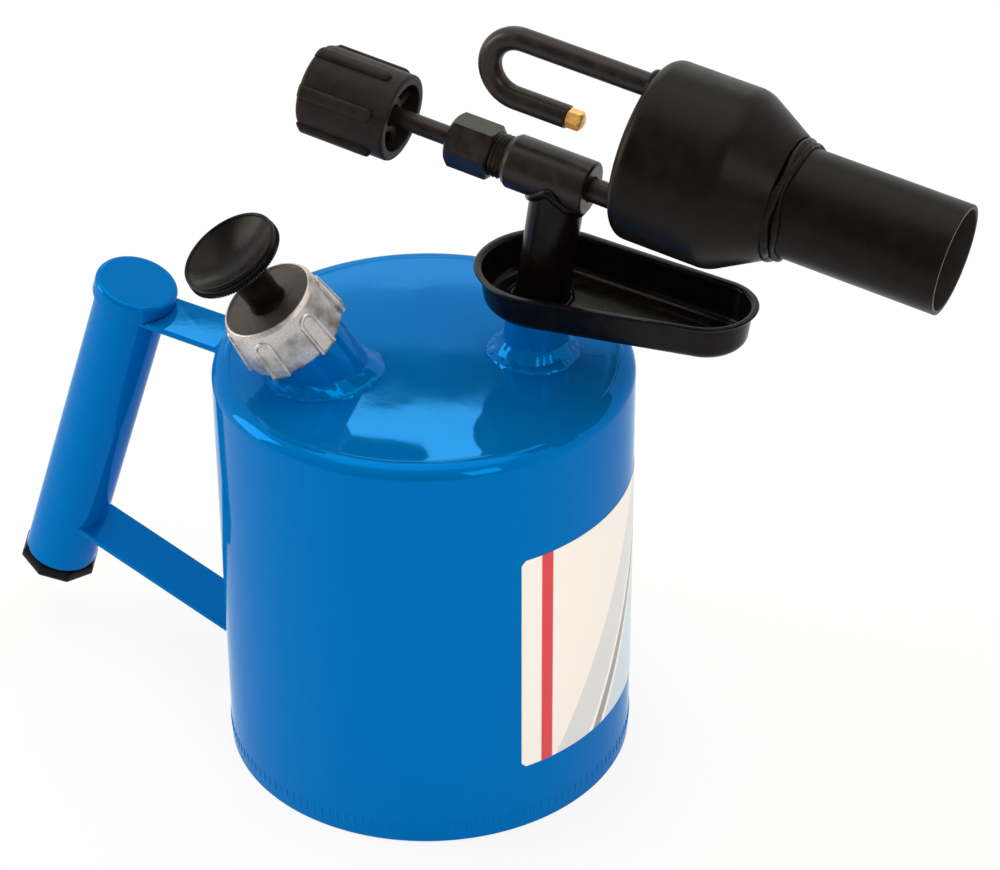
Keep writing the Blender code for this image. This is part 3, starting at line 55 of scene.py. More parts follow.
camera = bpy.data.objects.new("camera", bpy.data.cameras.new("camera"))
bpy.context.scene.collection.objects.link(camera)
camera.data.lens = CAMERA_LENS_MM
camera.data.sensor_width = SENSOR_WIDTH_MM
camera.data.sensor_fit = "HORIZONTAL"
right = CAMERA_RIGHT.normalized()
back = right.cross(CAMERA_UP).normalized()
up = back.cross(right)
camera.matrix_world = Matrix.Translation(CAMERA_PLACE) @ Matrix((right, up, back)).transposed().to_4x4()
bpy.context.scene.camera = camera


# Studio: a pale floor that keeps the lamp's shadow, white all round, and soft lamps.
# Rays from the camera, and those that shiny metal or glass sends on, see the surround as white.
# Towards the photographer the room is darker, which gives the black parts their dark middle.

FLOOR_SIZE = 6.0
FLOOR_DROP = 0.0003
FLOOR_TONE = "F6F6F6"
FLOOR_GLOW_SHARE = 0.85
ROOM_TONE = "FFFFFF"
ROOM_LIGHT = 0.72
ROOM_DARK_SIDE = 0.22
ROOM_DARK_TO = -0.8
ROOM_BRIGHT_FROM = 0.1
SOFT_LAMPS = (
    # name, place, size across, size along, watts, tone; the last two are mirrored in the tank's top
    ("overhead_lamp", (-0.09, 0.20, 1.42), 1.40, 1.10, 7.4, "FFF0DC"),
    ("left_lamp", (-1.30, -0.40, 0.62), 0.60, 1.00, 9.8, "FFF0DC"),
    ("right_lamp", (1.20, -0.75, 0.90), 0.45, 0.80, 4.5, "FFF0DC"),
    ("back_window", (-0.560, 1.03, 1.070), 0.28, 0.28, 1.05, "E6FFDA"),
    ("back_strip", (-0.65, 1.24, 0.765), 1.10, 0.17, 1.02, "E6FFDA"),
)
LAMP_TARGET = Vector((0.0, 0.0, 0.10))
CARD_PLACE = Vector((-0.545, 1.13, 0.960))
CARD_WIDTH = 0.27
CARD_HEIGHT = 0.095
CARD_TONE = "585858"


def linear(code):
    """An sRGB hex colour as linear red, green, blue and alpha."""
    channels = [int(code[start:start + 2], 16) / 255.0 for start in (0, 2, 4)]
    low = [value / 12.92 for value in channels]
    high = [((value + 0.055) / 1.055) ** 2.4 for value in channels]
    return [dark if value <= 0.04045 else bright for value, dark, bright in zip(channels, low, high)] + [1.0]


def add(tree, kind, inputs=None, **settings):
    """One node with its settings. An input takes a value, or another node's socket to link from."""
    made = tree.nodes.new(kind)
    for key, value in settings.items():
        setattr(made, key, value)
    for key, value in (inputs or {}).items():
        if isinstance(value, bpy.types.NodeSocket):
            tree.links.new(value, made.inputs[key])
        else:
            made.inputs[key].default_value = value
    return made


def seen_white(tree):
    """A 0 or 1 socket: 1 for camera, glossy and transmitted rays."""
    path = add(tree, "ShaderNodeLightPath")
    shiny = add(tree, "ShaderNodeMath", {0: path.outputs["Is Glossy Ray"], 1: path.outputs["Is Transmission Ray"]},
                operation="MAXIMUM")
    both = add(tree, "ShaderNodeMath", {0: path.outputs["Is Camera Ray"], 1: shiny.outputs[0]}, operation="MAXIMUM")
    return both.outputs[0]


def bare_tree(owner):
    """The emptied node tree of a new material or world."""
    owner.use_nodes = True
    owner.node_tree.nodes.clear()
    return owner.node_tree


def facing_lamp(spot):
    """A stand at a spot in the studio that looks at the blowlamp along its -Z."""
    way = (LAMP_TARGET - Vector(spot)).to_track_quat("-Z", "Y")
    return Matrix.Translation(spot) @ way.to_matrix().to_4x4()


def studio_sheet(name, width, height, stand, surface):
    """A flat sheet that belongs to the studio and not to the blowlamp."""
    corners = ((-0.5, -0.5), (0.5, -0.5), (0.5, 0.5), (-0.5, 0.5))
    mesh = bpy.data.meshes.new(name)
    mesh.from_pydata([stand @ Vector((side * width, up * height, 0.0)) for side, up in corners], [], [(0, 1, 2, 3)])
    mesh.materials.append(surface)
    sheet = bpy.data.objects.new(name, mesh)
    bpy.context.scene.collection.objects.link(sheet)


floor_paper = bpy.data.materials.new("white_studio_paper")
tree = bare_tree(floor_paper)
paper = add(tree, "ShaderNodeBsdfDiffuse", {"Color": linear(FLOOR_TONE)})
glow = add(tree, "ShaderNodeEmission", {"Color": linear(ROOM_TONE), "Strength": 1.0})
share = add(tree, "ShaderNodeMath", {0: seen_white(tree), 1: FLOOR_GLOW_SHARE}, operation="MULTIPLY")
mixed = add(tree, "ShaderNodeMixShader", {0: share.outputs[0], 1: paper.outputs[0], 2: glow.outputs[0]})
add(tree, "ShaderNodeOutputMaterial", {"Surface": mixed.outputs[0]})

studio_sheet("floor", FLOOR_SIZE, FLOOR_SIZE, Matrix.Translation((0.0, 0.0, -FLOOR_DROP)), floor_paper)

room = bpy.data.worlds.new("white_studio")
bpy.context.scene.world = room
tree = bare_tree(room)
way = add(tree, "ShaderNodeTexCoord")
across = add(tree, "ShaderNodeSeparateXYZ", {0: way.outputs["Generated"]})
side = add(tree, "ShaderNodeMapRange", {
    "Value": across.outputs["Y"], "From Min": ROOM_DARK_TO, "From Max": ROOM_BRIGHT_FROM,
    "To Min": ROOM_DARK_SIDE, "To Max": 1.0,
})
path = add(tree, "ShaderNodeLightPath")
white = add(tree, "ShaderNodeMath", {0: side.outputs[0], 1: path.outputs["Is Camera Ray"]}, operation="MAXIMUM")
dim = add(tree, "ShaderNodeBackground", {"Color": linear(ROOM_TONE), "Strength": ROOM_LIGHT})
bright = add(tree, "ShaderNodeBackground", {"Color": linear(ROOM_TONE), "Strength": white.outputs[0]})
mixed = add(tree, "ShaderNodeMixShader", {0: seen_white(tree), 1: dim.outputs[0], 2: bright.outputs[0]})
add(tree, "ShaderNodeOutputWorld", {"Surface": mixed.outputs[0]})

for name, spot, across, along, watts, tone in SOFT_LAMPS:
    lamp = bpy.data.objects.new(name, bpy.data.lights.new(name, "AREA"))
    bpy.context.scene.collection.objects.link(lamp)
    lamp.data.shape = "RECTANGLE"
    lamp.data.size = across
    lamp.data.size_y = along
    lamp.data.energy = watts
    lamp.data.color = linear(tone)[:3]
    lamp.matrix_world = facing_lamp(spot)

# A dark card under the window keeps a darker patch on the tank's glossy top, behind the bright one
dark_card = bpy.data.materials.new("black_studio_card")
tree = bare_tree(dark_card)
card_face = add(tree, "ShaderNodeBsdfDiffuse", {"Color": linear(CARD_TONE)})
add(tree, "ShaderNodeOutputMaterial", {"Surface": card_face.outputs[0]})
studio_sheet("dark_card", CARD_WIDTH, CARD_HEIGHT, facing_lamp(CARD_PLACE), dark_card)

bpy.context.scene.view_settings.view_transform = "Standard"


# Tank: a can drawn from 1 mm steel sheet, its crowned top pressed in one with the rounded shoulder.
# Gloss sky-blue enamel with a fine flake, sprayed and stoved: it mirrors the pump and burner in its own blue,
# with a faint orange peel, and the thin sheet under it sways a little.

TANK_X = -0.003955
TANK_RADIUS = 0.06228
TANK_HEIGHT = 0.1332
TANK_WALL = 0.001
SHOULDER_RADIUS = 0.0045
SHOULDER_STEPS = 12
SHOULDER_LEAD_IN = 0.18
TOP_CROWN = 0.0010
TOP_RING_WIDTH = 0.0012
TOP_RING_RISE = 0.00016
FOOT_ROUNDING = 0.0004
CROWN_STEPS = 28
TANK_STEPS = 192
ARC_STEPS = 5
SAME_SPOT = 1e-7
SHARP_ANGLE = math.radians(38.0)
FULL_TURN = 2.0 * math.pi
QUARTER_TURN = 0.5 * math.pi
ENAMEL_BLUE = "006DB8"
ENAMEL_SHEEN = "20B4F0"
ENAMEL_EDGE = "30E0FF"
ENAMEL_CLOUDS_MM = 9.0
ENAMEL_PEEL_MM = 2.2
ENAMEL_PEEL_DEPTH_MM = 0.004
ENAMEL_SWAY_MM = 26.0
ENAMEL_SWAY_DEPTH_MM = 0.10


def per_metre(size_mm):
    """The texture scale whose pattern repeats about every so many millimetres."""
    return 1000.0 / size_mm


def finish(name, tone, roughness, metallic=0.0, **more):
    """A Principled material; further sockets are given by their names, with _ for spaces."""
    made = bpy.data.materials.new(name)
    made.use_nodes = True
    shader = made.node_tree.nodes["Principled BSDF"]
    shader.inputs["Base Color"].default_value = linear(tone)
    shader.inputs["Roughness"].default_value = roughness
    shader.inputs["Metallic"].default_value = metallic
    for key, value in more.items():
        shader.inputs[key.replace("_", " ")].default_value = value
    return made, made.node_tree, shader


def grain(tree, size_mm, detail=2.0, roughness=0.5):
    """Noise on the object's own coordinates with features of a real size. Gives a 0 to 1 socket."""
    spot = add(tree, "ShaderNodeTexCoord")
    pattern = add(tree, "ShaderNodeTexNoise", {
        "Vector": spot.outputs["Object"], "Scale": per_metre(size_mm), "Detail": detail, "Roughness": roughness,
    })
    return pattern.outputs["Fac"]


def raised(tree, shader, height, depth_mm, before=None):
    """Give the surface relief from a height socket, of a real depth, on top of relief that came before."""
    inputs = {"Height": height, "Distance": depth_mm / 1000.0, "Strength": 1.0}
    if before is not None:
        inputs["Normal"] = before
    bump = add(tree, "ShaderNodeBump", inputs)
    tree.links.new(bump.outputs["Normal"], shader.inputs["Normal"])
    return bump.outputs["Normal"]


def spread(tree, socket, low, high, at_low=0.0, at_high=1.0):
    """Stretch a socket's range to another, and hold it there."""
    made = add(tree, "ShaderNodeMapRange", {
        "Value": socket, "From Min": low, "From Max": high, "To Min": at_low, "To Max": at_high,
    })
    return made.outputs["Result"]


# The flake under the clear blue is what makes it partly a metal to the eye; its edges catch a paler, greener blue
enamel, tree, shader = finish("gloss_blue_stoved_enamel", ENAMEL_BLUE, 0.06, 0.25, Specular_IOR_Level=0.05,
                              Specular_Tint=linear(ENAMEL_SHEEN), Sheen_Weight=0.12, Sheen_Roughness=0.35,
                              Sheen_Tint=linear(ENAMEL_EDGE))
clouds = grain(tree, ENAMEL_CLOUDS_MM, 3.0)
tree.links.new(spread(tree, clouds, 0.3, 0.7, 0.04, 0.08), shader.inputs["Roughness"])
sway = raised(tree, shader, grain(tree, ENAMEL_SWAY_MM, 1.0), ENAMEL_SWAY_DEPTH_MM)
raised(tree, shader, grain(tree, ENAMEL_PEEL_MM, 1.0), ENAMEL_PEEL_DEPTH_MM, before=sway)


def even_turns(steps):
    """The angles of so many even steps round a full turn."""
    return [FULL_TURN * step / steps for step in range(steps)]


def polar(radius, angle, *height):
    """A point at a distance and an angle from Z, on a height if one is given."""
    return (radius * math.cos(angle), radius * math.sin(angle), *height)


def arc(centre, radius, start, end, steps=ARC_STEPS):
    """Points along an arc, both ends included."""
    return [
        (centre[0] + radius * math.cos(angle), centre[1] + radius * math.sin(angle))
        for angle in (start + (end - start) * step / steps for step in range(steps + 1))
    ]


def lifted(height):
    """The move straight up by a height."""
    return Matrix.Translation((0.0, 0.0, height))


def spun(outline, steps=96):
    """Spin an outline of (radius, height) points round Z into a closed bmesh."""
    bm = bmesh.new()
    rows = []
    for radius, height in outline:
        if abs(radius) < SAME_SPOT:
            rows.append([bm.verts.new((0.0, 0.0, height))])
            continue
        rows.append([bm.verts.new(polar(radius, angle, height)) for angle in even_turns(steps)])
    pairs = list(zip(rows, rows[1:]))
    if len(rows[0]) > 1 or len(rows[-1]) > 1:
        pairs.append((rows[-1], rows[0]))
    for row, following in pairs:
        for step in range(steps):
            beside = (step + 1) % steps
            corners = [row[step % len(row)], row[beside % len(row)]]
            corners += [following[beside % len(following)], following[step % len(following)]]
            face = [corner for index, corner in enumerate(corners) if corner not in corners[:index]]
            if len(face) > 2:
                bm.faces.new(face)
    return bm


def mesh_of(bm, merge=SAME_SPOT):
    """Turn a bmesh into a mesh with its faces outwards."""
    bmesh.ops.remove_doubles(bm, verts=bm.verts, dist=merge)
    bmesh.ops.recalc_face_normals(bm, faces=bm.faces)
    mesh = bpy.data.meshes.new("shape")
    bm.to_mesh(mesh)
    bm.free()
    return mesh


tank_line = Matrix.Translation((TANK_X, 0.0, 0.0))


def place(name, mesh, stand, surface, body, nodes=()):
    """Put a finished mesh where it belongs, seen from the tank's foot, as a named piece that rides on its body."""
    mesh.transform(tank_line @ stand)
    mesh.name = name
    if not mesh.materials:
        mesh.materials.append(surface)
    mesh.shade_smooth()
    mesh.set_sharp_from_angle(angle=SHARP_ANGLE)
    piece = bpy.data.objects.new(name, mesh)
    bpy.context.scene.collection.objects.link(piece)
    even = piece.modifiers.new("even_shading", "WEIGHTED_NORMAL")
    even.keep_sharp = True
    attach(piece, body)
    if nodes:
        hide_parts(*nodes)
    return piece


IN_PLACE = Matrix.Identity(4)


def top_height(radius):
    """Height of the crowned top at a distance from the tank's axis."""
    flat = TANK_RADIUS - SHOULDER_RADIUS
    return TANK_HEIGHT + TOP_CROWN * (1.0 - (min(radius, flat) / flat) ** 2)


def tank_top_line(inset):
    """Outer line from the middle of the top over the pressed ring and the shoulder."""
    flat = TANK_RADIUS - SHOULDER_RADIUS
    inner = flat - TOP_RING_WIDTH
    points = [(inner * step / CROWN_STEPS, top_height(inner * step / CROWN_STEPS) - inset)
              for step in range(CROWN_STEPS + 1)]
    points += [(inner + 0.25 * TOP_RING_WIDTH, top_height(inner) - inset + 0.3 * TOP_RING_RISE)]
    points += [(flat, top_height(flat) - inset + TOP_RING_RISE)]
    points += arc((flat, TANK_HEIGHT - SHOULDER_RADIUS), SHOULDER_RADIUS - inset,
                  QUARTER_TURN - SHOULDER_LEAD_IN, 0.0, SHOULDER_STEPS)
    return points


foot = [(TANK_RADIUS, FOOT_ROUNDING), (TANK_RADIUS - FOOT_ROUNDING, 0.0)]
foot += [(TANK_RADIUS - TANK_WALL, 0.0)]
tank = spun(tank_top_line(0.0) + foot + list(reversed(tank_top_line(TANK_WALL))), TANK_STEPS)
place("tank_can", mesh_of(tank), IN_PLACE, enamel, "lamp", ["tank_shell"])


# Base: a pressed disc let into the can's foot and roller-welded to it, under the same enamel.
# The weld's track shows through the paint on the wall as a row of small upright dashes.

BASE_RECESS = 0.009
BASE_CROWN = 0.003
BASE_BEND_RADIUS = 0.0025
BASE_FOOT_LIFT = 0.001
CLEARANCE = 0.0003
TRACK_HEIGHT = 0.0052
TRACK_PITCH = 0.0027
TRACK_DASH_LENGTH = 0.0040
TRACK_DASH_WIDTH = 0.0010
TRACK_DASH_RISE = 0.00022

edge = TANK_RADIUS - TANK_WALL - CLEARANCE
bend = BASE_BEND_RADIUS
middle = BASE_RECESS + BASE_CROWN
upper = [(0.0, middle)] + arc((edge - bend, BASE_RECESS - bend), bend, QUARTER_TURN, 0.0)
upper += [(edge, BASE_FOOT_LIFT), (edge - TANK_WALL, BASE_FOOT_LIFT)]
lower = arc((edge - bend, BASE_RECESS - bend), bend - TANK_WALL, 0.0, QUARTER_TURN) + [(0.0, middle - TANK_WALL)]
place("base_disc", mesh_of(spun(upper + lower, TANK_STEPS)), IN_PLACE, enamel, "lamp", ["tank_base"])


def node_tree(name, sizes):
    """A Geometry Nodes tree with named inputs for its sizes. Gives the tree, its input and its output."""
    tree = bpy.data.node_groups.new(name, "GeometryNodeTree")
    tree.interface.new_socket("Geometry", in_out="INPUT", socket_type="NodeSocketGeometry")
    for label, value in sizes.items():
        kind = "NodeSocketInt" if isinstance(value, int) else "NodeSocketFloat"
        socket = tree.interface.new_socket(label, in_out="INPUT", socket_type=kind)
        socket.default_value = value
    tree.interface.new_socket("Surface", in_out="INPUT", socket_type="NodeSocketMaterial")
    tree.interface.new_socket("Geometry", in_out="OUTPUT", socket_type="NodeSocketGeometry")
    return tree, add(tree, "NodeGroupInput"), add(tree, "NodeGroupOutput")


def ended(tree, given, made, grown_shape):
    """The last nodes of every tree: real geometry, in the material that was given."""
    solid = add(tree, "GeometryNodeRealizeInstances", {"Geometry": grown_shape})
    painted = add(tree, "GeometryNodeSetMaterial", {
        "Geometry": solid.outputs[0], "Material": given.outputs["Surface"],
    })
    tree.links.new(painted.outputs[0], made.inputs[0])


def grown(mesh, tree, surface, **sizes):
    """Run a mesh through a tree and give the plain mesh that comes out."""
    seed = bpy.data.objects.new("seed", mesh)
    bpy.context.scene.collection.objects.link(seed)
    step = seed.modifiers.new("grow", "NODES")
    step.node_group = tree
    for socket in tree.interface.items_tree:
        if socket.in_out != "INPUT" or socket.name == "Geometry":
            continue
        value = surface if socket.name == "Surface" else sizes.get(socket.name, socket.default_value)
        step[socket.identifier] = value
    bpy.context.view_layer.update()
    made = bpy.data.meshes.new_from_object(seed.evaluated_get(bpy.context.evaluated_depsgraph_get()))
    bpy.data.objects.remove(seed)
    return made


# One tree sets copies of a shape on a ring round Z, each turned to face outwards
ring_tree, given, made = node_tree("ring_of_copies", {"Count": 8, "Radius": 0.01, "Turn": 0.0})
ring = add(ring_tree, "GeometryNodeMeshCircle", {
    "Vertices": given.outputs["Count"], "Radius": given.outputs["Radius"],
})
away = add(ring_tree, "GeometryNodeInputPosition")
facing = add(ring_tree, "FunctionNodeAlignEulerToVector", {"Vector": away.outputs[0]}, axis="X", pivot_axis="Z")
copies = add(ring_tree, "GeometryNodeInstanceOnPoints", {
    "Points": ring.outputs["Mesh"], "Instance": given.outputs["Geometry"], "Rotation": facing.outputs[0],
})
turn = add(ring_tree, "ShaderNodeCombineXYZ", {"Z": given.outputs["Turn"]})
turned = add(ring_tree, "GeometryNodeTransform", {"Geometry": copies.outputs[0], "Rotation": turn.outputs[0]})
ended(ring_tree, given, made, turned.outputs[0])

# A dash is a low rounded lump that stands out along X, half of it sunk
bm = bmesh.new()
bmesh.ops.create_uvsphere(bm, u_segments=10, v_segments=8, radius=1.0)
bmesh.ops.scale(bm, verts=bm.verts, vec=(TRACK_DASH_RISE, 0.5 * TRACK_DASH_WIDTH, 0.5 * TRACK_DASH_LENGTH))
track = grown(mesh_of(bm), ring_tree, enamel, Count=round(FULL_TURN * TANK_RADIUS / TRACK_PITCH), Radius=TANK_RADIUS)
place("base_weld_track", track, lifted(TRACK_HEIGHT), enamel, "lamp")


# Label: a printed film wrapped on the wall at the front, generic: an upright red bar and slanting grey sashes.
# Semi-gloss print, thin enough to show only as an edge.

LABEL_START = math.radians(-36.5)
LABEL_END = math.radians(56.0)
LABEL_LOW = 0.0230
LABEL_HIGH = 0.0977
LABEL_LIFT = 0.00012
LABEL_CORNER = 0.0015
LABEL_COLUMNS = 72
LABEL_PAPER = "F8F1EA"
LABEL_RED = "D8323C"
LABEL_SLANT = 0.45
LABEL_BAR = (0.065, 0.105)
LABEL_BLUR = 0.004
LABEL_PRINT = (
    # where each sash starts and ends at the label's foot, and its tone
    (0.12, 0.26, "DADBDC"),
    (0.28, 0.32, "8F9293"),
    (0.34, 0.62, "C6D8E2"),
)

label_film, tree, shader = finish("printed_gloss_label", LABEL_PAPER, 0.28)
uv = add(tree, "ShaderNodeUVMap", uv_map="label")
across = add(tree, "ShaderNodeSeparateXYZ", {0: uv.outputs[0]})
drop = add(tree, "ShaderNodeMath", {0: across.outputs["Y"], 1: LABEL_SLANT}, operation="MULTIPLY")
slant = add(tree, "ShaderNodeMath", {0: across.outputs["X"], 1: drop.outputs[0]}, operation="SUBTRACT")


def tinted(tree, socket, tone, other):
    """A colour between two tones. The first may be a colour socket instead of a hex colour."""
    first = linear(tone) if isinstance(tone, str) else tone
    made = add(tree, "ShaderNodeMix", {"Factor": socket, 6: first, 7: linear(other)}, data_type="RGBA")
    return made.outputs[2]


def band(tree, socket, start, end):
    """A 0 or 1 socket: 1 where another socket lies between two values."""
    rises = spread(tree, socket, start, start + LABEL_BLUR)
    falls = spread(tree, socket, end, end + LABEL_BLUR, 1.0, 0.0)
    return add(tree, "ShaderNodeMath", {0: rises, 1: falls}, operation="MULTIPLY").outputs[0]


print_tone = tinted(tree, band(tree, across.outputs["X"], *LABEL_BAR), LABEL_PAPER, LABEL_RED)
for start, end, tone in LABEL_PRINT:
    print_tone = tinted(tree, band(tree, slant.outputs[0], start, end), print_tone, tone)
tree.links.new(print_tone, shader.inputs["Base Color"])

bm = bmesh.new()
uv_layer = bm.loops.layers.uv.new("label")
columns = []
for step in range(LABEL_COLUMNS + 1):
    share = step / LABEL_COLUMNS
    angle = LABEL_START + (LABEL_END - LABEL_START) * share
    from_end = min(share, 1.0 - share) * (LABEL_END - LABEL_START) * TANK_RADIUS
    short = LABEL_CORNER - math.sqrt(max(LABEL_CORNER ** 2 - max(LABEL_CORNER - from_end, 0.0) ** 2, 0.0))
    column = []
    for radius in (TANK_RADIUS + 0.1 * LABEL_LIFT, TANK_RADIUS + LABEL_LIFT):
        for height in (LABEL_LOW + short, LABEL_HIGH - short):
            column.append(bm.verts.new(polar(radius, angle, height)))
    columns.append((share, column))
for (share, column), (next_share, following) in zip(columns, columns[1:]):
    for first, second in ((0, 1), (1, 3), (3, 2), (2, 0)):
        face = bm.faces.new((column[first], column[second], following[second], following[first]))
        for loop, place_share in zip(face.loops, (share, share, next_share, next_share)):
            loop[uv_layer].uv = (place_share, (loop.vert.co.z - LABEL_LOW) / (LABEL_HIGH - LABEL_LOW))
bm.faces.new([columns[0][1][corner] for corner in (0, 1, 3, 2)])
bm.faces.new([columns[-1][1][corner] for corner in (0, 1, 3, 2)])
place("label", mesh_of(bm, 0.01 * SAME_SPOT), IN_PLACE, label_film, "lamp")


# Filler neck and burner boss: turned steel sockets let into the top, each with a hand-laid weld under the paint.
# The weld is an uneven ring up the socket's foot, with a lumpy bead run round its outer edge.

PUMP_ANGLE = math.radians(226.5)
PUMP_LEAN = math.radians(30.2)
PUMP_SEAT_RADIUS = 0.0306
NECK_RADIUS = 0.0132
NECK_WALL = 0.002
NECK_HEIGHT = 0.024
NECK_DEPTH = 0.009
NECK_BEAD_OUT = 0.0004
NECK_BEAD_RADIUS = 0.0023
NECK_WELD_WIDTH = 0.0024
NECK_WELD_HEIGHT = 0.0044
NECK_WELD_FULLNESS = 1.2
RISER_X = 0.0282
RISER_Y = 0.0154
BURNER_DIP = math.radians(8.1)
RISER_HEIGHT = 0.0598
RISER_RADIUS = 0.0079
BOSS_RADIUS = 0.0095
BOSS_BORE_RADIUS = 0.0062
BOSS_HEIGHT = 0.0140
BOSS_DEPTH = 0.004
BOSS_EDGE = 0.001
BOSS_BEAD_OUT = 0.0016
BOSS_BEAD_RADIUS = 0.0027
BOSS_WELD_WIDTH = 0.0036
BOSS_WELD_HEIGHT = 0.0054
BOSS_WELD_FULLNESS = 0.8
TURNED_EDGE = 0.0004
BEAD_FLATNESS = 0.52
BEAD_STEP = 0.00035
BEAD_LUMP_SCALE = 0.4
BEAD_LUMP_GAIN = 4.0
WELD_ROOT = -0.4
WELD_SUNK = -0.2
WELD_FACE_STEPS = 8
WELD_UNEVENNESS = 0.36
WELD_LUMP_SIZE = 0.0032
WELD_LUMPS_PER_STEP = 0.30
SEAM_STEPS = 96
SEAM_TRIES = 6
STRAIGHT = 0.98

pump_seat = Vector(polar(PUMP_SEAT_RADIUS, PUMP_ANGLE, top_height(PUMP_SEAT_RADIUS)))
pump_line = Matrix.Translation(pump_seat) @ Matrix.Rotation(PUMP_ANGLE, 4, "Z") @ Matrix.Rotation(PUMP_LEAN, 4, "Y")
boss_foot = Vector((RISER_X, RISER_Y, top_height(math.hypot(RISER_X, RISER_Y))))
boss_line = Matrix.Translation(boss_foot) @ Matrix.Rotation(BURNER_DIP, 4, "Y")
riser_line = boss_line @ lifted(RISER_HEIGHT)
burner_line = riser_line @ Matrix.Rotation(QUARTER_TURN, 4, "Y")

# A bead is one tree: a round section carried along the joint, stacked in ripples and roughened
bead_tree, given, made = node_tree("weld_bead", {
    "Radius": 0.002, "Ripple": 0.0016, "Ripple rise": 0.0002, "Lumps": 0.0016, "Lump rise": 0.0006, "Seed": 0.0,
    "Sides": 16,
})
line = add(bead_tree, "GeometryNodeMeshToCurve", {"Mesh": given.outputs["Geometry"]})
even = add(bead_tree, "GeometryNodeResampleCurve", {"Curve": line.outputs[0], "Length": BEAD_STEP}, mode="LENGTH")
along = add(bead_tree, "GeometryNodeSplineParameter")
marked = add(bead_tree, "GeometryNodeStoreNamedAttribute", {
    "Geometry": even.outputs[0], "Name": "along", "Value": along.outputs["Length"],
}, data_type="FLOAT", domain="POINT")
section = add(bead_tree, "GeometryNodeCurvePrimitiveCircle", {
    "Resolution": given.outputs["Sides"], "Radius": given.outputs["Radius"],
})
bead = add(bead_tree, "GeometryNodeCurveToMesh", {
    "Curve": marked.outputs[0], "Profile Curve": section.outputs["Curve"], "Fill Caps": True,
})
length = add(bead_tree, "GeometryNodeInputNamedAttribute", {"Name": "along"}, data_type="FLOAT")
count = add(bead_tree, "ShaderNodeMath", {0: length.outputs["Attribute"], 1: given.outputs["Ripple"]},
            operation="DIVIDE")
stack = add(bead_tree, "ShaderNodeMath", {0: count.outputs[0]}, operation="FRACT")
ripple = add(bead_tree, "ShaderNodeMath", {0: stack.outputs[0], 1: given.outputs["Ripple rise"]}, operation="MULTIPLY")
spot = add(bead_tree, "GeometryNodeInputPosition")
finer = add(bead_tree, "ShaderNodeMath", {0: BEAD_LUMP_SCALE, 1: given.outputs["Lumps"]}, operation="DIVIDE")
lumps = add(bead_tree, "ShaderNodeTexNoise", {
    "Vector": spot.outputs[0], "W": given.outputs["Seed"], "Scale": finer.outputs[0], "Detail": 2.0,
}, noise_dimensions="4D")
centred = add(bead_tree, "ShaderNodeMath", {0: lumps.outputs["Fac"], 1: 0.5}, operation="SUBTRACT")
swell = add(bead_tree, "ShaderNodeMath", {0: centred.outputs[0], 1: given.outputs["Lump rise"]}, operation="MULTIPLY")
full = add(bead_tree, "ShaderNodeMath", {0: swell.outputs[0], 1: BEAD_LUMP_GAIN}, operation="MULTIPLY")
rise = add(bead_tree, "ShaderNodeMath", {0: full.outputs[0], 1: ripple.outputs[0]}, operation="ADD")
outward = add(bead_tree, "GeometryNodeInputNormal")
push = add(bead_tree, "ShaderNodeVectorMath", {0: outward.outputs[0], "Scale": rise.outputs[0]}, operation="SCALE")
rough = add(bead_tree, "GeometryNodeSetPosition", {"Geometry": bead.outputs[0], "Offset": push.outputs[0]})
ended(bead_tree, given, made, rough.outputs[0])


def seam(points):
    """A closed line of points as a mesh of edges."""
    mesh = bpy.data.meshes.new("seam")
    count = len(points)
    mesh.from_pydata([tuple(point) for point in points], [(i, (i + 1) % count) for i in range(count)], [])
    return mesh


def bead_along(points, surface, radius, **sizes):
    """A weld bead along a closed line of points."""
    return grown(seam(points), bead_tree, surface, Radius=radius, **sizes)


def ring_on_top(stand, radius):
    """Where a ring round a leaning piece meets the crowned top, as points. Each is found in a few tries."""
    points = []
    for angle in even_turns(SEAM_STEPS):
        height = 0.0
        for _ in range(SEAM_TRIES):
            spot = stand @ Vector(polar(radius, angle, height))
            height += top_height(math.hypot(spot.x, spot.y)) - spot.z
        points.append(stand @ Vector(polar(radius, angle, height)))
    return points


def lofted(loops, closed=False):
    """Join rings of points, one after another, into a closed bmesh: capped, or the last joined to the first."""
    bm = bmesh.new()
    rings = [[bm.verts.new(point) for point in loop] for loop in loops]
    pairs = list(zip(rings, rings[1:])) + ([(rings[-1], rings[0])] if closed else [])
    for ring, following in pairs:
        for step in range(len(ring)):
            beside = (step + 1) % len(ring)
            bm.faces.new((ring[step], ring[beside], following[beside], following[step]))
    if not closed:
        bm.faces.new(rings[0])
        bm.faces.new(rings[-1])
    return bm


def weld_ring(stand, radius, width, height, fullness):
    """A ring of weld up a leaning piece's foot, uneven as the hand moved: its face is hollow below a fullness of 1."""
    axis = (stand @ Vector((0.0, 0.0, 1.0))) - stand.translation
    section = [(WELD_ROOT, WELD_SUNK), (1.0, WELD_SUNK)]
    section += [(math.cos(turn) ** (2.0 / fullness), math.sin(turn) ** (2.0 / fullness))
                for turn in (QUARTER_TURN * step / WELD_FACE_STEPS for step in range(WELD_FACE_STEPS + 1))]
    loops = []
    for out, up in section + [(WELD_ROOT, 1.0)]:
        loop = []
        for step, point in enumerate(ring_on_top(stand, radius + out * width)):
            lump = noise.noise(Vector((step * WELD_LUMPS_PER_STEP, radius / WELD_LUMP_SIZE, 0.0)))
            lump += 0.5 * noise.noise(point / WELD_LUMP_SIZE)
            loop.append(point + axis * height * up * (1.0 + WELD_UNEVENNESS * lump))
        loops.append(loop)
    return mesh_of(lofted(loops, closed=True))


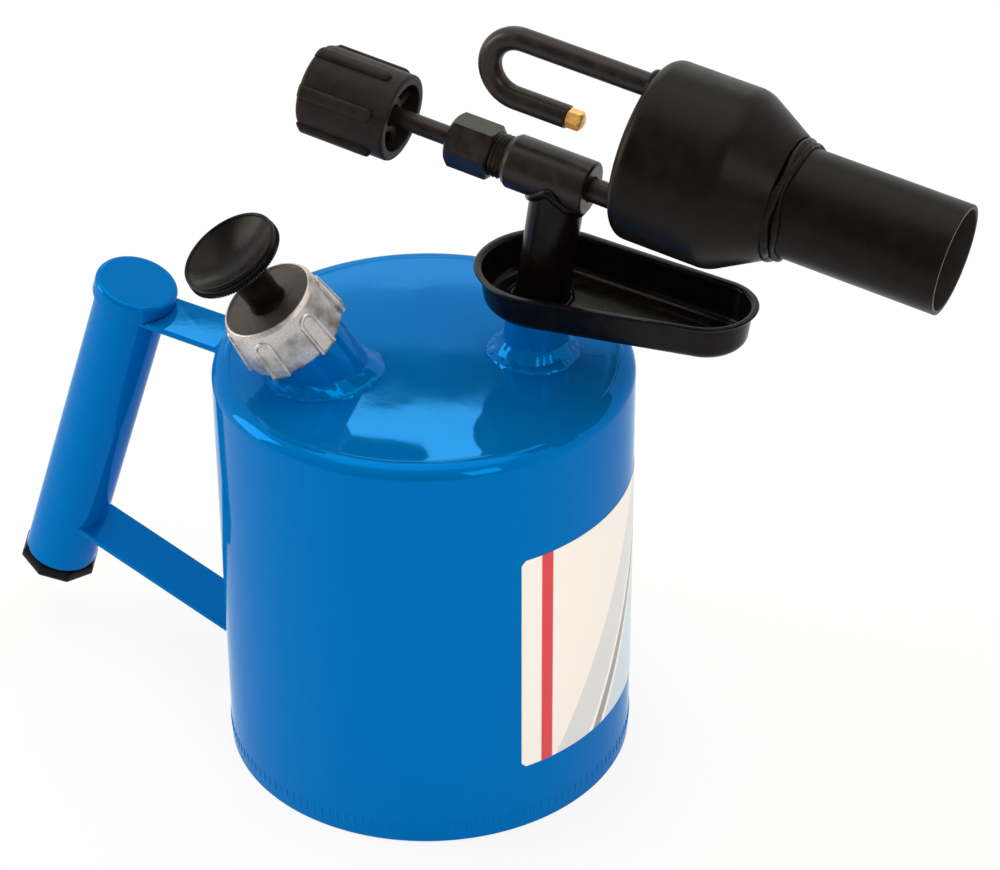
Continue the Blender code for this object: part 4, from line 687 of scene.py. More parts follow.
def laid_bead(stand, reach, radius, **sizes):
    """A bead on the crowned top, flattened as the pool sinks."""
    mesh = bead_along(ring_on_top(stand, reach), enamel, radius, **sizes)
    for corner in mesh.vertices:
        level = top_height(math.hypot(corner.co.x, corner.co.y))
        corner.co.z = level + BEAD_FLATNESS * (corner.co.z - level)
    return mesh


def softened(corners, radius, closed=True, steps=3):
    """An outline with its corners rounded, but the nearly straight ones.

    A corner may give its own radius as a third number. No rounding takes more than 0.45 of a side.
    """
    points = []
    for index, corner in enumerate(corners):
        rounding = corner[2] if len(corner) > 2 else radius
        spot = Vector(corner[:2])
        if rounding == 0.0 or (not closed and index in (0, len(corners) - 1)):
            points.append(tuple(spot))
            continue
        to_last = Vector(corners[index - 1][:2]) - spot
        to_next = Vector(corners[(index + 1) % len(corners)][:2]) - spot
        half_angle = 0.5 * to_last.angle(to_next)
        if half_angle > STRAIGHT * QUARTER_TURN:
            points.append(tuple(spot))
            continue
        cut = min(rounding / math.tan(half_angle), 0.45 * to_last.length, 0.45 * to_next.length)
        to_last.normalize()
        to_next.normalize()
        centre = spot + (to_last + to_next).normalized() * (cut / math.cos(half_angle))
        start = spot + to_last * cut - centre
        turn_sign = 1.0 if start.cross(spot + to_next * cut - centre) > 0.0 else -1.0
        for step in range(steps + 1):
            turn = Matrix.Rotation(turn_sign * (math.pi - 2.0 * half_angle) * step / steps, 2)
            points.append(tuple(centre + turn @ start))
    return points


def tube_line(radius, bore, low, high):
    """The section of a plain tube, to be spun."""
    return [(radius, high), (radius, low), (bore, low), (bore, high)]


neck = softened(tube_line(NECK_RADIUS, NECK_RADIUS - NECK_WALL, -NECK_DEPTH, NECK_HEIGHT), TURNED_EDGE)
place("neck_tube", mesh_of(spun(neck)), pump_line, enamel, "lamp", ["filler_neck"])
broad = {"Lumps": 0.0036, "Lump rise": 0.0009, "Ripple": 0.0044, "Ripple rise": 0.00042}
bead = laid_bead(pump_line, NECK_RADIUS + NECK_BEAD_OUT, NECK_BEAD_RADIUS, **broad)
place("neck_bead", bead, IN_PLACE, enamel, "lamp", ["filler_neck_weld"])
ring = weld_ring(pump_line, NECK_RADIUS, NECK_WELD_WIDTH, NECK_WELD_HEIGHT, NECK_WELD_FULLNESS)
place("neck_weld_ring", ring, IN_PLACE, enamel, "lamp")

boss = tube_line(BOSS_RADIUS, BOSS_BORE_RADIUS, -BOSS_DEPTH, BOSS_HEIGHT)
boss[0] += (BOSS_EDGE,)
boss = softened(boss, 0.75 * TURNED_EDGE)
place("boss_socket", mesh_of(spun(boss)), boss_line, enamel, "lamp", ["burner_boss"])
bead = laid_bead(boss_line, BOSS_RADIUS + BOSS_BEAD_OUT, BOSS_BEAD_RADIUS, Seed=3.0, **broad)
place("boss_bead", bead, IN_PLACE, enamel, "lamp", ["burner_boss_weld"])
ring = weld_ring(boss_line, BOSS_RADIUS, BOSS_WELD_WIDTH, BOSS_WELD_HEIGHT, BOSS_WELD_FULLNESS)
place("boss_weld_ring", ring, IN_PLACE, enamel, "lamp")


# Handle: a strip bent into two arms, and a leaning tube with a pressed cap and a black plug in its foot.
# All in the tank's enamel but the plug, which is moulded in black plastic with eight facets.

HANDLE_REACH = 0.03582
HANDLE_TOP_DROP = 0.0009
HANDLE_LEAN = math.radians(18.66)
HANDLE_RADIUS = 0.0114
HANDLE_WALL = 0.0015
HANDLE_LENGTH = 0.1157
HANDLE_CAP_RADIUS = 0.0128
HANDLE_CAP_SKIRT = 0.0058
HANDLE_CAP_THICKNESS = 0.0012
HANDLE_CAP_EDGE = 0.0015
STRIP_WIDTH = 0.0175
STRIP_THICKNESS = 0.002
STRIP_BEND_RADIUS = 0.003
STRIP_EDGE = 0.0004
STRIP_LAP = 0.0003
CUT_OVERRUN = 0.003
UPPER_ARM_DROP = 0.0123
UPPER_ARM_RISE = math.radians(5.0)
LOWER_ARM_HEIGHT = 0.0146
LOWER_ARM_LIFT = 0.01945
PLUG_FACETS = 8
PLUG_RADIUS = 0.0127
PLUG_HEAD_HEIGHT = 0.0058
PLUG_SPIGOT_LENGTH = 0.012
PLUG_CHAMFER = 0.0012
PLUG_EDGE = 0.00035
PLUG_BLACK = "0C0908"
ROUNDED_ANGLE = math.radians(40.0)
ROUNDED_STEPS = 3

top_x = -(TANK_RADIUS + HANDLE_REACH)
top_z = TANK_HEIGHT - HANDLE_TOP_DROP
handle_line = Matrix.Translation((top_x, 0.0, top_z)) @ Matrix.Rotation(HANDLE_LEAN, 4, "Y")
inside = HANDLE_RADIUS + CLEARANCE
cap = [(0.0, 0.0)] + arc((HANDLE_CAP_RADIUS - HANDLE_CAP_EDGE, -HANDLE_CAP_EDGE), HANDLE_CAP_EDGE, QUARTER_TURN, 0.0, 8)
cap += softened([(HANDLE_CAP_RADIUS, -HANDLE_CAP_EDGE), (HANDLE_CAP_RADIUS, -HANDLE_CAP_SKIRT),
                 (inside, -HANDLE_CAP_SKIRT), (inside, -HANDLE_CAP_THICKNESS), (0.0, -HANDLE_CAP_THICKNESS)],
                TURNED_EDGE, closed=False)[1:]
place("grip_cap", mesh_of(spun(cap)), handle_line, enamel, "lamp", ["handle_cap"])
tube_bore = HANDLE_RADIUS - HANDLE_WALL
grip = softened(tube_line(HANDLE_RADIUS, tube_bore, -HANDLE_LENGTH, -HANDLE_CAP_THICKNESS - CLEARANCE), TURNED_EDGE)
place("grip_tube", mesh_of(spun(grip)), handle_line, enamel, "lamp", ["handle_tube"])

half = 0.5 * STRIP_THICKNESS
plate_x = -(TANK_RADIUS + CLEARANCE + half)
upper_corner = TANK_HEIGHT - UPPER_ARM_DROP
run = (top_z - upper_corner + (plate_x - top_x) / math.tan(HANDLE_LEAN))
run /= math.tan(UPPER_ARM_RISE) + 1.0 / math.tan(HANDLE_LEAN)
reach = HANDLE_LENGTH - LOWER_ARM_LIFT
corners = [(plate_x - run, upper_corner + math.tan(UPPER_ARM_RISE) * run), (plate_x, upper_corner),
           (plate_x, LOWER_ARM_HEIGHT), (top_x - reach * math.sin(HANDLE_LEAN), top_z - reach * math.cos(HANDLE_LEAN))]
line = [Vector(point) for point in softened(corners, STRIP_BEND_RADIUS + half, closed=False, steps=8)]
left_side = []
right_side = []
for index, point in enumerate(line):
    ahead = (line[min(index + 1, len(line) - 1)] - line[max(index - 1, 0)]).normalized()
    side = Vector((-ahead.y, ahead.x)) * half
    left_side.append(point + side)
    right_side.append(point - side)
outline = left_side + list(reversed(right_side))


def bar(points, along):
    """A bar of any section, carried straight on from its first end."""
    bm = bmesh.new()
    face = bm.faces.new([bm.verts.new(point) for point in points])
    extruded = bmesh.ops.extrude_face_region(bm, geom=[face])
    moved = [item for item in extruded["geom"] if isinstance(item, bmesh.types.BMVert)]
    bmesh.ops.translate(bm, verts=moved, vec=along)
    return mesh_of(bm)


def solid_of(mesh, stand=IN_PLACE):
    """A mesh as an object for cutting and joining."""
    mesh.transform(stand)
    made = bpy.data.objects.new("solid", mesh)
    bpy.context.scene.collection.objects.link(made)
    return made


def worked(piece, *steps):
    """Carry out cuts, joins and edge rounding on a solid, and give its mesh. A step is a tool and its operation."""
    for tool, operation in steps:
        if operation == "ROUND":
            change = piece.modifiers.new("round", "BEVEL")
            change.width = tool
            change.segments = ROUNDED_STEPS
            change.limit_method = "ANGLE"
            change.angle_limit = ROUNDED_ANGLE
        else:
            change = piece.modifiers.new("work", "BOOLEAN")
            change.operation = operation
            change.solver = "EXACT"
            change.object = tool
    bpy.context.view_layer.update()
    made = bpy.data.meshes.new_from_object(piece.evaluated_get(bpy.context.evaluated_depsgraph_get()))
    for used in [piece] + [tool for tool, operation in steps if operation != "ROUND"]:
        bpy.data.objects.remove(used)
    return made


# Both arms end in the tube's round shape, so they are cut with it
wide = HANDLE_CAP_RADIUS + CLEARANCE
narrow = HANDLE_RADIUS - STRIP_LAP
below_cap = -HANDLE_CAP_SKIRT - CLEARANCE
mouth = [(0.0, CUT_OVERRUN), (wide, CUT_OVERRUN), (wide, below_cap), (narrow, below_cap), (narrow, -HANDLE_LENGTH)]
mouth = solid_of(mesh_of(spun(mouth + [(0.0, -HANDLE_LENGTH)])), handle_line)
strip = bar([(point.x, -0.5 * STRIP_WIDTH, point.y) for point in outline], (0.0, STRIP_WIDTH, 0.0))
strip = worked(solid_of(strip), (STRIP_EDGE, "ROUND"), (mouth, "DIFFERENCE"))
place("handle_strip", strip, IN_PLACE, enamel, "lamp", ["handle_bracket"])

# Moulded plastic, satin from the tool: dark, with soft broad highlights and a very fine grain, drawn here as
# coarse as it takes to show
moulded, tree, shader = finish("black_moulded_plastic", PLUG_BLACK, 0.26, Specular_IOR_Level=0.10)
tree.links.new(spread(tree, grain(tree, 2.5, 4.0), 0.3, 0.7, 0.21, 0.31), shader.inputs["Roughness"])
raised(tree, shader, grain(tree, 0.35, 2.0), 0.010)

head_top = -HANDLE_LENGTH - CLEARANCE
head_low = head_top - PLUG_HEAD_HEIGHT
head = [(0.0, head_top), (PLUG_RADIUS - 0.5 * PLUG_CHAMFER, head_top), (PLUG_RADIUS, head_top - PLUG_CHAMFER)]
head += [(PLUG_RADIUS, head_low + 2.0 * PLUG_CHAMFER), (PLUG_RADIUS - 2.0 * PLUG_CHAMFER, head_low), (0.0, head_low)]
plug = worked(solid_of(mesh_of(spun(head, PLUG_FACETS))), (PLUG_EDGE, "ROUND"))


def pin_line(radius, low, high):
    """The section of a plain round pin, to be spun."""
    return [(0.0, high), (radius, high), (radius, low), (0.0, low)]


stem = pin_line(tube_bore - CLEARANCE, head_top - PLUG_CHAMFER, head_top + PLUG_SPIGOT_LENGTH)
place("grip_plug", plug, handle_line, moulded, "lamp", ["handle_plug"])
place("grip_plug_stem", mesh_of(spun(stem, 32)), handle_line, moulded, "lamp")


# Pump nut: one aluminium die casting that clamps the pump on the neck, with six hollowed tongues to grip.
# As cast and shot-blasted: pale grey and dull, finely pitted, with darker blotches at random, which are painted
# reflection standing in for the cast metal's uneven mirroring. The face inside its lip is much darker.

NUT_BOTTOM = 0.0158
NUT_HEIGHT = 0.0162
NUT_RADIUS = 0.0154
NUT_TOP_RADIUS = 0.0142
NUT_LIP = 0.0008
NUT_DISH = 0.0006
NUT_TONGUES = 6
NUT_TONGUE_TURN = math.radians(54.0)
NUT_TONGUE_HALF_WIDTH = 0.0031
NUT_TONGUE_LENGTH = 0.0132
NUT_TONGUE_RISE = 0.0013
NUT_TONGUE_TOP_RISE = 0.0008
NUT_TONGUE_LEVELS = (
    # how far in from the tongue's outline, and the share of its rise
    (0.0, -0.5), (0.0, 0.45), (0.00015, 0.8), (0.0004, 1.0), (0.0008, 1.0), (0.0011, 0.85), (0.0013, 0.55),
)
NUT_CEILING = 0.0279
ROD_RADIUS = 0.003
CAST_GREY = "DAD4CF"
CAST_SHADE = "BDB6B0"
# The darker tone of the blotches is painted reflection
CAST_PAINTED_REFLECTION_DARK = "7E7874"
NUT_FACE_DARK_GREY = "4A4542"

cast, tree, shader = finish("shot_blasted_cast_aluminium", CAST_GREY, 0.36, 0.85)
cloud = grain(tree, 0.9, 4.0, 0.7)
skin = tinted(tree, spread(tree, cloud, 0.35, 0.7), CAST_SHADE, CAST_GREY)
# Painted reflection: darker blotches at random places stand in for the cast metal's uneven mirroring
painted_reflection_blotch = spread(tree, grain(tree, 7.0, 3.0), 0.48, 0.70, 0.0, 0.8)
tree.links.new(tinted(tree, painted_reflection_blotch, skin, CAST_PAINTED_REFLECTION_DARK), shader.inputs["Base Color"])
tree.links.new(spread(tree, cloud, 0.3, 0.7, 0.30, 0.48), shader.inputs["Roughness"])
raised(tree, shader, grain(tree, 0.6, 3.0, 0.7), 0.06)

# The face inside the lip: the same aluminium, in a much darker grey
nut_face, tree, shader = finish("dark_nut_face_aluminium", NUT_FACE_DARK_GREY, 0.48, 0.7)
tree.links.new(spread(tree, grain(tree, 1.8, 4.0, 0.6), 0.3, 0.7, 0.40, 0.60), shader.inputs["Roughness"])
raised(tree, shader, grain(tree, 0.5, 2.0), 0.03)

nut_top = NUT_BOTTOM + NUT_HEIGHT
hole = ROD_RADIUS + CLEARANCE
rim = NUT_TOP_RADIUS - NUT_LIP
bore = NECK_RADIUS + CLEARANCE
nut = [(hole, nut_top - NUT_DISH, 0.0), (rim - NUT_LIP, nut_top - NUT_DISH), (rim, nut_top, 0.25 * NUT_LIP)]
nut += [(rim + 0.5 * NUT_LIP, nut_top, 0.5 * NUT_LIP)]
nut += [(NUT_TOP_RADIUS + 0.5 * NUT_LIP, nut_top - 1.5 * NUT_LIP, NUT_LIP)]
nut += [(NUT_RADIUS, NUT_BOTTOM + NUT_LIP), (NUT_RADIUS - 0.5 * NUT_LIP, NUT_BOTTOM, 0.25 * NUT_LIP)]
nut += [(bore, NUT_BOTTOM, 0.0), (bore, NUT_CEILING, 0.0), (hole, NUT_CEILING, 0.0)]
nut = mesh_of(spun(softened(nut, TURNED_EDGE)))
nut.materials.append(cast)
nut.materials.append(nut_face)
for face in nut.polygons:
    if face.normal.z > 0.5 and math.hypot(face.center.x, face.center.y) < rim:
        face.material_index = 1
place("pump_cap", nut, pump_line, cast, "pump_nut", ["pump_nut"])

# A tongue is lofted through level lines: foot, raised round edge, and the hollow inside it
loops = []
for inset, rise_share in NUT_TONGUE_LEVELS:
    half = NUT_TONGUE_HALF_WIDTH - inset
    outline = [(-half, 0.0), (half, 0.0)]
    outline += arc((0.0, NUT_TONGUE_LENGTH - NUT_TONGUE_HALF_WIDTH), half, 0.0, math.pi, 16)
    loop = []
    for side, up in outline:
        share = up / NUT_HEIGHT
        wall = NUT_RADIUS + (NUT_TOP_RADIUS - NUT_RADIUS) * share
        rise = NUT_TONGUE_RISE + (NUT_TONGUE_TOP_RISE - NUT_TONGUE_RISE) * share
        angle = side / NUT_RADIUS
        out = wall + rise * rise_share
        loop.append((out * math.cos(angle) - NUT_RADIUS, out * math.sin(angle), up))
    loops.append(loop)
tongues = grown(mesh_of(lofted(loops)), ring_tree, cast, Count=NUT_TONGUES, Radius=NUT_RADIUS, Turn=NUT_TONGUE_TURN)
place("pump_cap_tongues", tongues, pump_line @ lifted(NUT_BOTTOM + 0.5 * NUT_LIP), cast, "pump_nut")


# Plunger knob: a dished mushroom moulded in black plastic, with a rolled lip and a straight knurl round its rim.
# Satin from the mould. The real knurl is about twice as fine; it is as coarse here as it takes to show.

PLUNGER_RADIUS = 0.0148
PLUNGER_HEIGHT = 0.0213
PLUNGER_RIM_THICKNESS = 0.0046
PLUNGER_DISH = 0.0046
PLUNGER_LIP = 0.0006
PLUNGER_STEM_RADIUS = 0.0052
PLUNGER_FOOT_FLARE = 0.0004
PLUNGER_SOCKET_DEPTH = 0.013
PLUNGER_UNDERCUT = 0.0010
PLUNGER_NECK_FALL = 3.6
PLUNGER_STEPS = 16
KNURL_COUNT = 104
KNURL_SHARE = 0.28
KNURL_RISE = 0.00022
KNURL_LENGTH = 0.0026
KNURL_NOSE = 0.0003
KNURL_FOOT = 0.0005
KNURL_LIFT = 0.0004

knob_low = nut_top - NUT_DISH + CLEARANCE
knob_high = knob_low + PLUNGER_HEIGHT
rim_low = knob_high - PLUNGER_RIM_THICKNESS
band_radius = PLUNGER_RADIUS - KNURL_RISE
lip_radius = band_radius - PLUNGER_LIP
dish = lip_radius - PLUNGER_LIP
shares = [step / PLUNGER_STEPS for step in range(PLUNGER_STEPS + 1)]
outline = [(dish * out, knob_high - PLUNGER_LIP - (PLUNGER_DISH - PLUNGER_LIP) * (1.0 - out ** 2)) for out in shares]
outline += arc((lip_radius, knob_high - PLUNGER_LIP), PLUNGER_LIP, math.pi - 0.5, -0.3, 8)
outline += [(band_radius - 0.5 * PLUNGER_LIP, knob_high - 2.0 * PLUNGER_LIP)]
outline += [(band_radius, knob_high - 2.3 * PLUNGER_LIP)]
outline += [(band_radius - 0.5 * PLUNGER_LIP, rim_low + PLUNGER_UNDERCUT)]
outline += [(band_radius - 2.0 * PLUNGER_LIP, rim_low)]
flare = band_radius - 2.0 * PLUNGER_LIP - PLUNGER_STEM_RADIUS
depth = rim_low - knob_low - 2.0 * PLUNGER_FOOT_FLARE
for down in shares[1:]:
    out = PLUNGER_STEM_RADIUS + flare * (1.0 - down) ** 2 * math.exp(-PLUNGER_NECK_FALL * down)
    outline.append((out, rim_low - depth * down))
stem_foot = PLUNGER_STEM_RADIUS + PLUNGER_FOOT_FLARE
outline += [(stem_foot, knob_low + 0.5 * PLUNGER_FOOT_FLARE), (stem_foot, knob_low), (hole, knob_low)]
outline += [(hole, knob_low + PLUNGER_SOCKET_DEPTH), (0.0, knob_low + PLUNGER_SOCKET_DEPTH)]
place("pump_knob", mesh_of(spun(outline)), pump_line, moulded, "plunger", ["plunger_knob"])

half = KNURL_SHARE * FULL_TURN * PLUNGER_RADIUS / KNURL_COUNT
ridge = [[(out + lift - 2.0 * KNURL_RISE, side, up) for side, lift in ((-half, 0.0), (0.0, rise), (half, 0.0))]
         for out, up, rise in ((0.0, KNURL_LENGTH, 0.0), (0.0, KNURL_LENGTH - KNURL_NOSE, 2.0 * KNURL_RISE),
                               (0.0, KNURL_FOOT, 2.0 * KNURL_RISE), (-KNURL_NOSE, 0.0, 0.5 * KNURL_RISE))]
knurl = grown(mesh_of(lofted(ridge)), ring_tree, moulded, Count=KNURL_COUNT, Radius=PLUNGER_RADIUS)
place("pump_knob_knurl", knurl, pump_line @ lifted(rim_low + KNURL_LIFT), moulded, "plunger")


# Riser and drip tray: a thick tube screwed in the boss, and a teardrop dish pressed from sheet round it,
# with a rolled rim and a low step round its floor, welded to the tube.
# Both are dipped in gloss black: nearly mirror-dark, with a thin bright line along every rolled edge.

RISER_SPIGOT_LENGTH = 0.009
RISER_BORE_RADIUS = 0.0033
VALVE_RADIUS = 0.0080
RISER_SADDLE = 0.001
RISER_LAP = 0.0005
RISER_BEAD_RADIUS = 0.0013
TRAY_RIM_LIFT = 0.0301
TRAY_DEPTH = 0.0112
TRAY_BIG_RADIUS = 0.0217
TRAY_SMALL_RADIUS = 0.0150
TRAY_LENGTH = 0.0493
TRAY_START = 0.0006
TRAY_SHEET = 0.0009
TRAY_FLARE = 0.0026
TRAY_ROLL = 0.0014
TRAY_LIP = 0.0003
TRAY_DRAFT = 0.0010
TRAY_FLOOR_RADIUS = 0.0026
TRAY_BEND_STEPS = 6
TRAY_STEP_INSET = 0.0022
TRAY_STEP_WIDTH = 0.0012
TRAY_STEP_RISE = 0.0004
TRAY_BEAD_OUT = 0.0008
TRAY_BEAD_RADIUS = 0.0009
DIPPED_BLACK = "070505"
DIPPED_SHINE = "110D0B"


def clouded(name, tone, other, clouds, roughness, relief, depth_mm, full=0.75, **more):
    """A finish that drifts from one tone to another and between two roughnesses in soft clouds, over fine relief.

    Clouds and relief are given as for grain: a size in mm, the detail and its roughness.
    """
    made, tree, shader = finish(name, tone, 0.5 * sum(roughness), **more)
    drift = grain(tree, *clouds)
    tree.links.new(tinted(tree, spread(tree, drift, 0.35, full), tone, other), shader.inputs["Base Color"])
    tree.links.new(spread(tree, drift, 0.3, 0.7, *roughness), shader.inputs["Roughness"])
    raised(tree, shader, grain(tree, *relief), depth_mm)
    return made


dipped_black = clouded("gloss_dipped_black_paint", DIPPED_BLACK, DIPPED_SHINE, (5.0, 4.0, 0.6), (0.20, 0.29),
                       (1.6, 2.0, 0.6), 0.018, Specular_IOR_Level=0.12)

shoulder = BOSS_HEIGHT - RISER_HEIGHT + CLEARANCE
spigot = BOSS_BORE_RADIUS - CLEARANCE
riser = [(RISER_RADIUS, 0.0), (RISER_RADIUS, shoulder), (spigot, shoulder), (spigot, shoulder - RISER_SPIGOT_LENGTH)]
riser += [(RISER_BORE_RADIUS, shoulder - RISER_SPIGOT_LENGTH), (RISER_BORE_RADIUS, 0.0)]
bm = spun(riser)
for corner in bm.verts:
    if corner.co.z > -RISER_SADDLE:
        corner.co.z = RISER_LAP - math.sqrt(VALVE_RADIUS ** 2 - corner.co.y ** 2)
place("riser_tube", mesh_of(bm), riser_line, dipped_black, "lamp", ["riser"])


def ring_round(radius, level, x=0.0):
    """Points of a ring round an upright line. The level is worked out from the angle."""
    return [Vector((x, 0.0, 0.0)) + Vector(polar(radius, angle, level(angle))) for angle in even_turns(SEAM_STEPS)]


saddle = ring_round(RISER_RADIUS, lambda angle: -math.sqrt(VALVE_RADIUS ** 2 - (RISER_RADIUS * math.sin(angle)) ** 2))
smooth = {"Lumps": 0.0048, "Lump rise": 0.0005, "Ripple rise": 0.0, "Seed": 5.0}
bead = bead_along(saddle, dipped_black, RISER_BEAD_RADIUS, **smooth)
place("riser_bead", bead, riser_line, dipped_black, "lamp", ["riser_weld"])


def teardrop(inset, steps=32):
    """Plan line of the tray: a big and a small circle joined by their tangents, moved inwards by an inset."""
    lean = math.acos((TRAY_BIG_RADIUS - TRAY_SMALL_RADIUS) / TRAY_LENGTH)
    big = arc((0.0, 0.0), TRAY_BIG_RADIUS - inset, lean, FULL_TURN - lean, 2 * steps)
    return big + arc((TRAY_LENGTH, 0.0), TRAY_SMALL_RADIUS - inset, -lean, lean, steps)


rim_z = boss_foot.z + TRAY_RIM_LIFT
floor_z = rim_z - TRAY_DEPTH
wall = TRAY_FLARE + TRAY_DRAFT
radius = TRAY_FLOOR_RADIUS
half = 0.5 * TRAY_SHEET
roll = (TRAY_FLARE - TRAY_ROLL, rim_z - TRAY_ROLL)
inner = [(TRAY_LIP, rim_z - TRAY_LIP / 3.0)] + arc(roll, TRAY_ROLL, QUARTER_TURN, 0.0)
outer = [(0.0, rim_z - half), (TRAY_LIP / 1.5, rim_z - 1.8 * half)]
outer += arc(roll, TRAY_ROLL - TRAY_SHEET, QUARTER_TURN, 0.0)
for step in range(TRAY_BEND_STEPS + 1):
    angle = QUARTER_TURN * step / TRAY_BEND_STEPS
    inner.append((wall + radius - radius * math.cos(angle), floor_z + radius - radius * math.sin(angle)))
    reach = radius + TRAY_SHEET
    outer.append((wall + radius - reach * math.cos(angle), floor_z + radius - reach * math.sin(angle)))
step_in = wall + radius + TRAY_STEP_INSET
inner += [(step_in, floor_z), (step_in + 0.3 * TRAY_STEP_WIDTH, floor_z + 0.8 * TRAY_STEP_RISE)]
inner += [(step_in + 0.6 * TRAY_STEP_WIDTH, floor_z + TRAY_STEP_RISE), (step_in + TRAY_STEP_WIDTH, floor_z)]
tray = lofted([[(x, y, height) for x, y in teardrop(inset)] for inset, height in list(reversed(outer)) + inner])
tray_x = RISER_X + TRAY_RIM_LIFT * math.tan(BURNER_DIP) + TRAY_START
place("priming_tray", mesh_of(tray), Matrix.Translation((tray_x, RISER_Y, 0.0)), dipped_black, "lamp", ["drip_tray"])

floor_level = (floor_z - boss_foot.z) / math.cos(BURNER_DIP) - RISER_HEIGHT
reach = RISER_RADIUS + TRAY_BEAD_OUT
foot = ring_round(reach, lambda angle: floor_level + reach * math.cos(angle) * math.tan(BURNER_DIP))
lumpy = {"Lumps": 0.0022, "Lump rise": 0.0003, "Ripple rise": 0.0, "Seed": 8.0}
bead = bead_along(foot, dipped_black, TRAY_BEAD_RADIUS, **lumpy)
place("tray_bead", bead, riser_line, dipped_black, "lamp", ["tray_weld"])


# Valve: a turned body lies across the riser's head, and a hexagonal gland nut screws on its threaded rear.
# Steel, chemically blackened after turning: brown-black and satin, a little shinier than the paint.

VALVE_FRONT = 0.0098
VALVE_BACK = 0.0158
VALVE_FRONT_EDGE = 0.0010
VALVE_CHAMFER = 0.0014
VALVE_CHAMFER_DEPTH = 0.0009
VALVE_SEAT = 0.005
VALVE_SEAT_LENGTH = 0.001
THREAD_RADIUS = 0.0066
THREAD_LENGTH = 0.0150
THREAD_PITCH = 0.00125
THREAD_RIDGE = 0.0007
GLAND_FLATS = 0.0142
GLAND_FRONT = 0.0206
GLAND_LENGTH = 0.0140
GLAND_CHAMFER = 0.0016
GLAND_EDGE = 0.00025
GLAND_OVERRUN = 0.002
GLAND_TURN = math.radians(26.3)
SPINDLE_RADIUS = 0.0029
FEED_PIPE_RADIUS = 0.0036
BLACKED_STEEL = "18120F"
BLACKED_SHINE = "2A211B"

blacked = clouded("chemically_blacked_steel", BLACKED_STEEL, BLACKED_SHINE, (4.0, 4.0, 0.6), (0.26, 0.40),
                  (0.5, 2.0), 0.015, Specular_IOR_Level=0.26)

end = -VALVE_BACK - THREAD_LENGTH
socket = FEED_PIPE_RADIUS + CLEARANCE
root = THREAD_RADIUS - THREAD_RIDGE
bore = SPINDLE_RADIUS + CLEARANCE
body = [(socket, VALVE_FRONT, 0.0), (VALVE_RADIUS, VALVE_FRONT, VALVE_FRONT_EDGE)]
body += [(VALVE_RADIUS, VALVE_CHAMFER - VALVE_BACK, 1.5 * TURNED_EDGE)]
body += [(VALVE_RADIUS - VALVE_CHAMFER_DEPTH, -VALVE_BACK, TURNED_EDGE), (root, -VALVE_BACK, 0.0), (root, end, 0.0)]
body += [(bore, end, 0.0), (bore, VALVE_SEAT - VALVE_SEAT_LENGTH, 0.0), (socket, VALVE_SEAT, 0.0)]
body = mesh_of(spun(softened(body, TURNED_EDGE)))
place("valve_barrel", body, burner_line, blacked, "lamp", ["valve_body"])

# One tree winds a ridge of any section round Z
thread_tree, given, made = node_tree("thread", {"Turns": 10.0, "Radius": 0.006, "Length": 0.01, "Ridge": 0.0005})
helix = add(thread_tree, "GeometryNodeCurveSpiral", {
    "Resolution": 48, "Rotations": given.outputs["Turns"], "Start Radius": given.outputs["Radius"],
    "End Radius": given.outputs["Radius"], "Height": given.outputs["Length"],
})
upright = add(thread_tree, "GeometryNodeSetCurveNormal", {"Curve": helix.outputs[0]}, mode="Z_UP")
section = add(thread_tree, "GeometryNodeCurvePrimitiveCircle", {"Resolution": 4, "Radius": given.outputs["Ridge"]})
ridge = add(thread_tree, "GeometryNodeCurveToMesh", {
    "Curve": upright.outputs[0], "Profile Curve": section.outputs["Curve"], "Fill Caps": True,
})
ended(thread_tree, given, made, ridge.outputs[0])
thread_length = THREAD_LENGTH - 3.0 * TURNED_EDGE
thread = grown(bpy.data.meshes.new("start"), thread_tree, blacked, Turns=thread_length / THREAD_PITCH, Radius=root,
               Length=thread_length, Ridge=THREAD_RIDGE)
place("valve_thread", thread, burner_line @ lifted(end + TURNED_EDGE), blacked, "lamp")


def hexagon_bar(flats, low, high):
    """A length of hexagonal bar, as wide over its flats as its name says, and the radius to its corners."""
    corner = flats / math.sqrt(3.0)
    section = [polar(corner, GLAND_TURN + angle, low) for angle in even_turns(6)]
    return solid_of(bar(section, (0.0, 0.0, high - low))), corner


front = -GLAND_FRONT
rear = front - GLAND_LENGTH
hexagon, corner = hexagon_bar(GLAND_FLATS, rear - GLAND_OVERRUN, front + GLAND_OVERRUN)
flat = 0.5 * GLAND_FLATS
turning = [(0.0, front), (flat, front), (corner + CLEARANCE, front - 0.5 * GLAND_CHAMFER)]
turning += [(corner + CLEARANCE, rear + GLAND_CHAMFER), (flat - 0.3 * GLAND_CHAMFER, rear + 0.2 * GLAND_CHAMFER)]
turning += [(flat - 0.9 * GLAND_CHAMFER, rear), (0.0, rear)]
hollow = [(0.0, front + GLAND_OVERRUN), (THREAD_RADIUS, front + GLAND_OVERRUN), (THREAD_RADIUS, end), (bore, end)]
hollow += [(bore, rear - GLAND_OVERRUN), (0.0, rear - GLAND_OVERRUN)]
gland = worked(hexagon, (solid_of(mesh_of(spun(turning))), "INTERSECT"),
               (solid_of(mesh_of(spun(hollow))), "DIFFERENCE"), (GLAND_EDGE, "ROUND"))
place("gland_hexagon", gland, burner_line, blacked, "lamp", ["gland_nut"])


# Spindle and knob: a steel rod through the gland, and a hollow black knob pushed on it.
# The knob is moulded in glass-filled plastic: matt, faintly grained, worn smoother on its six ribs.

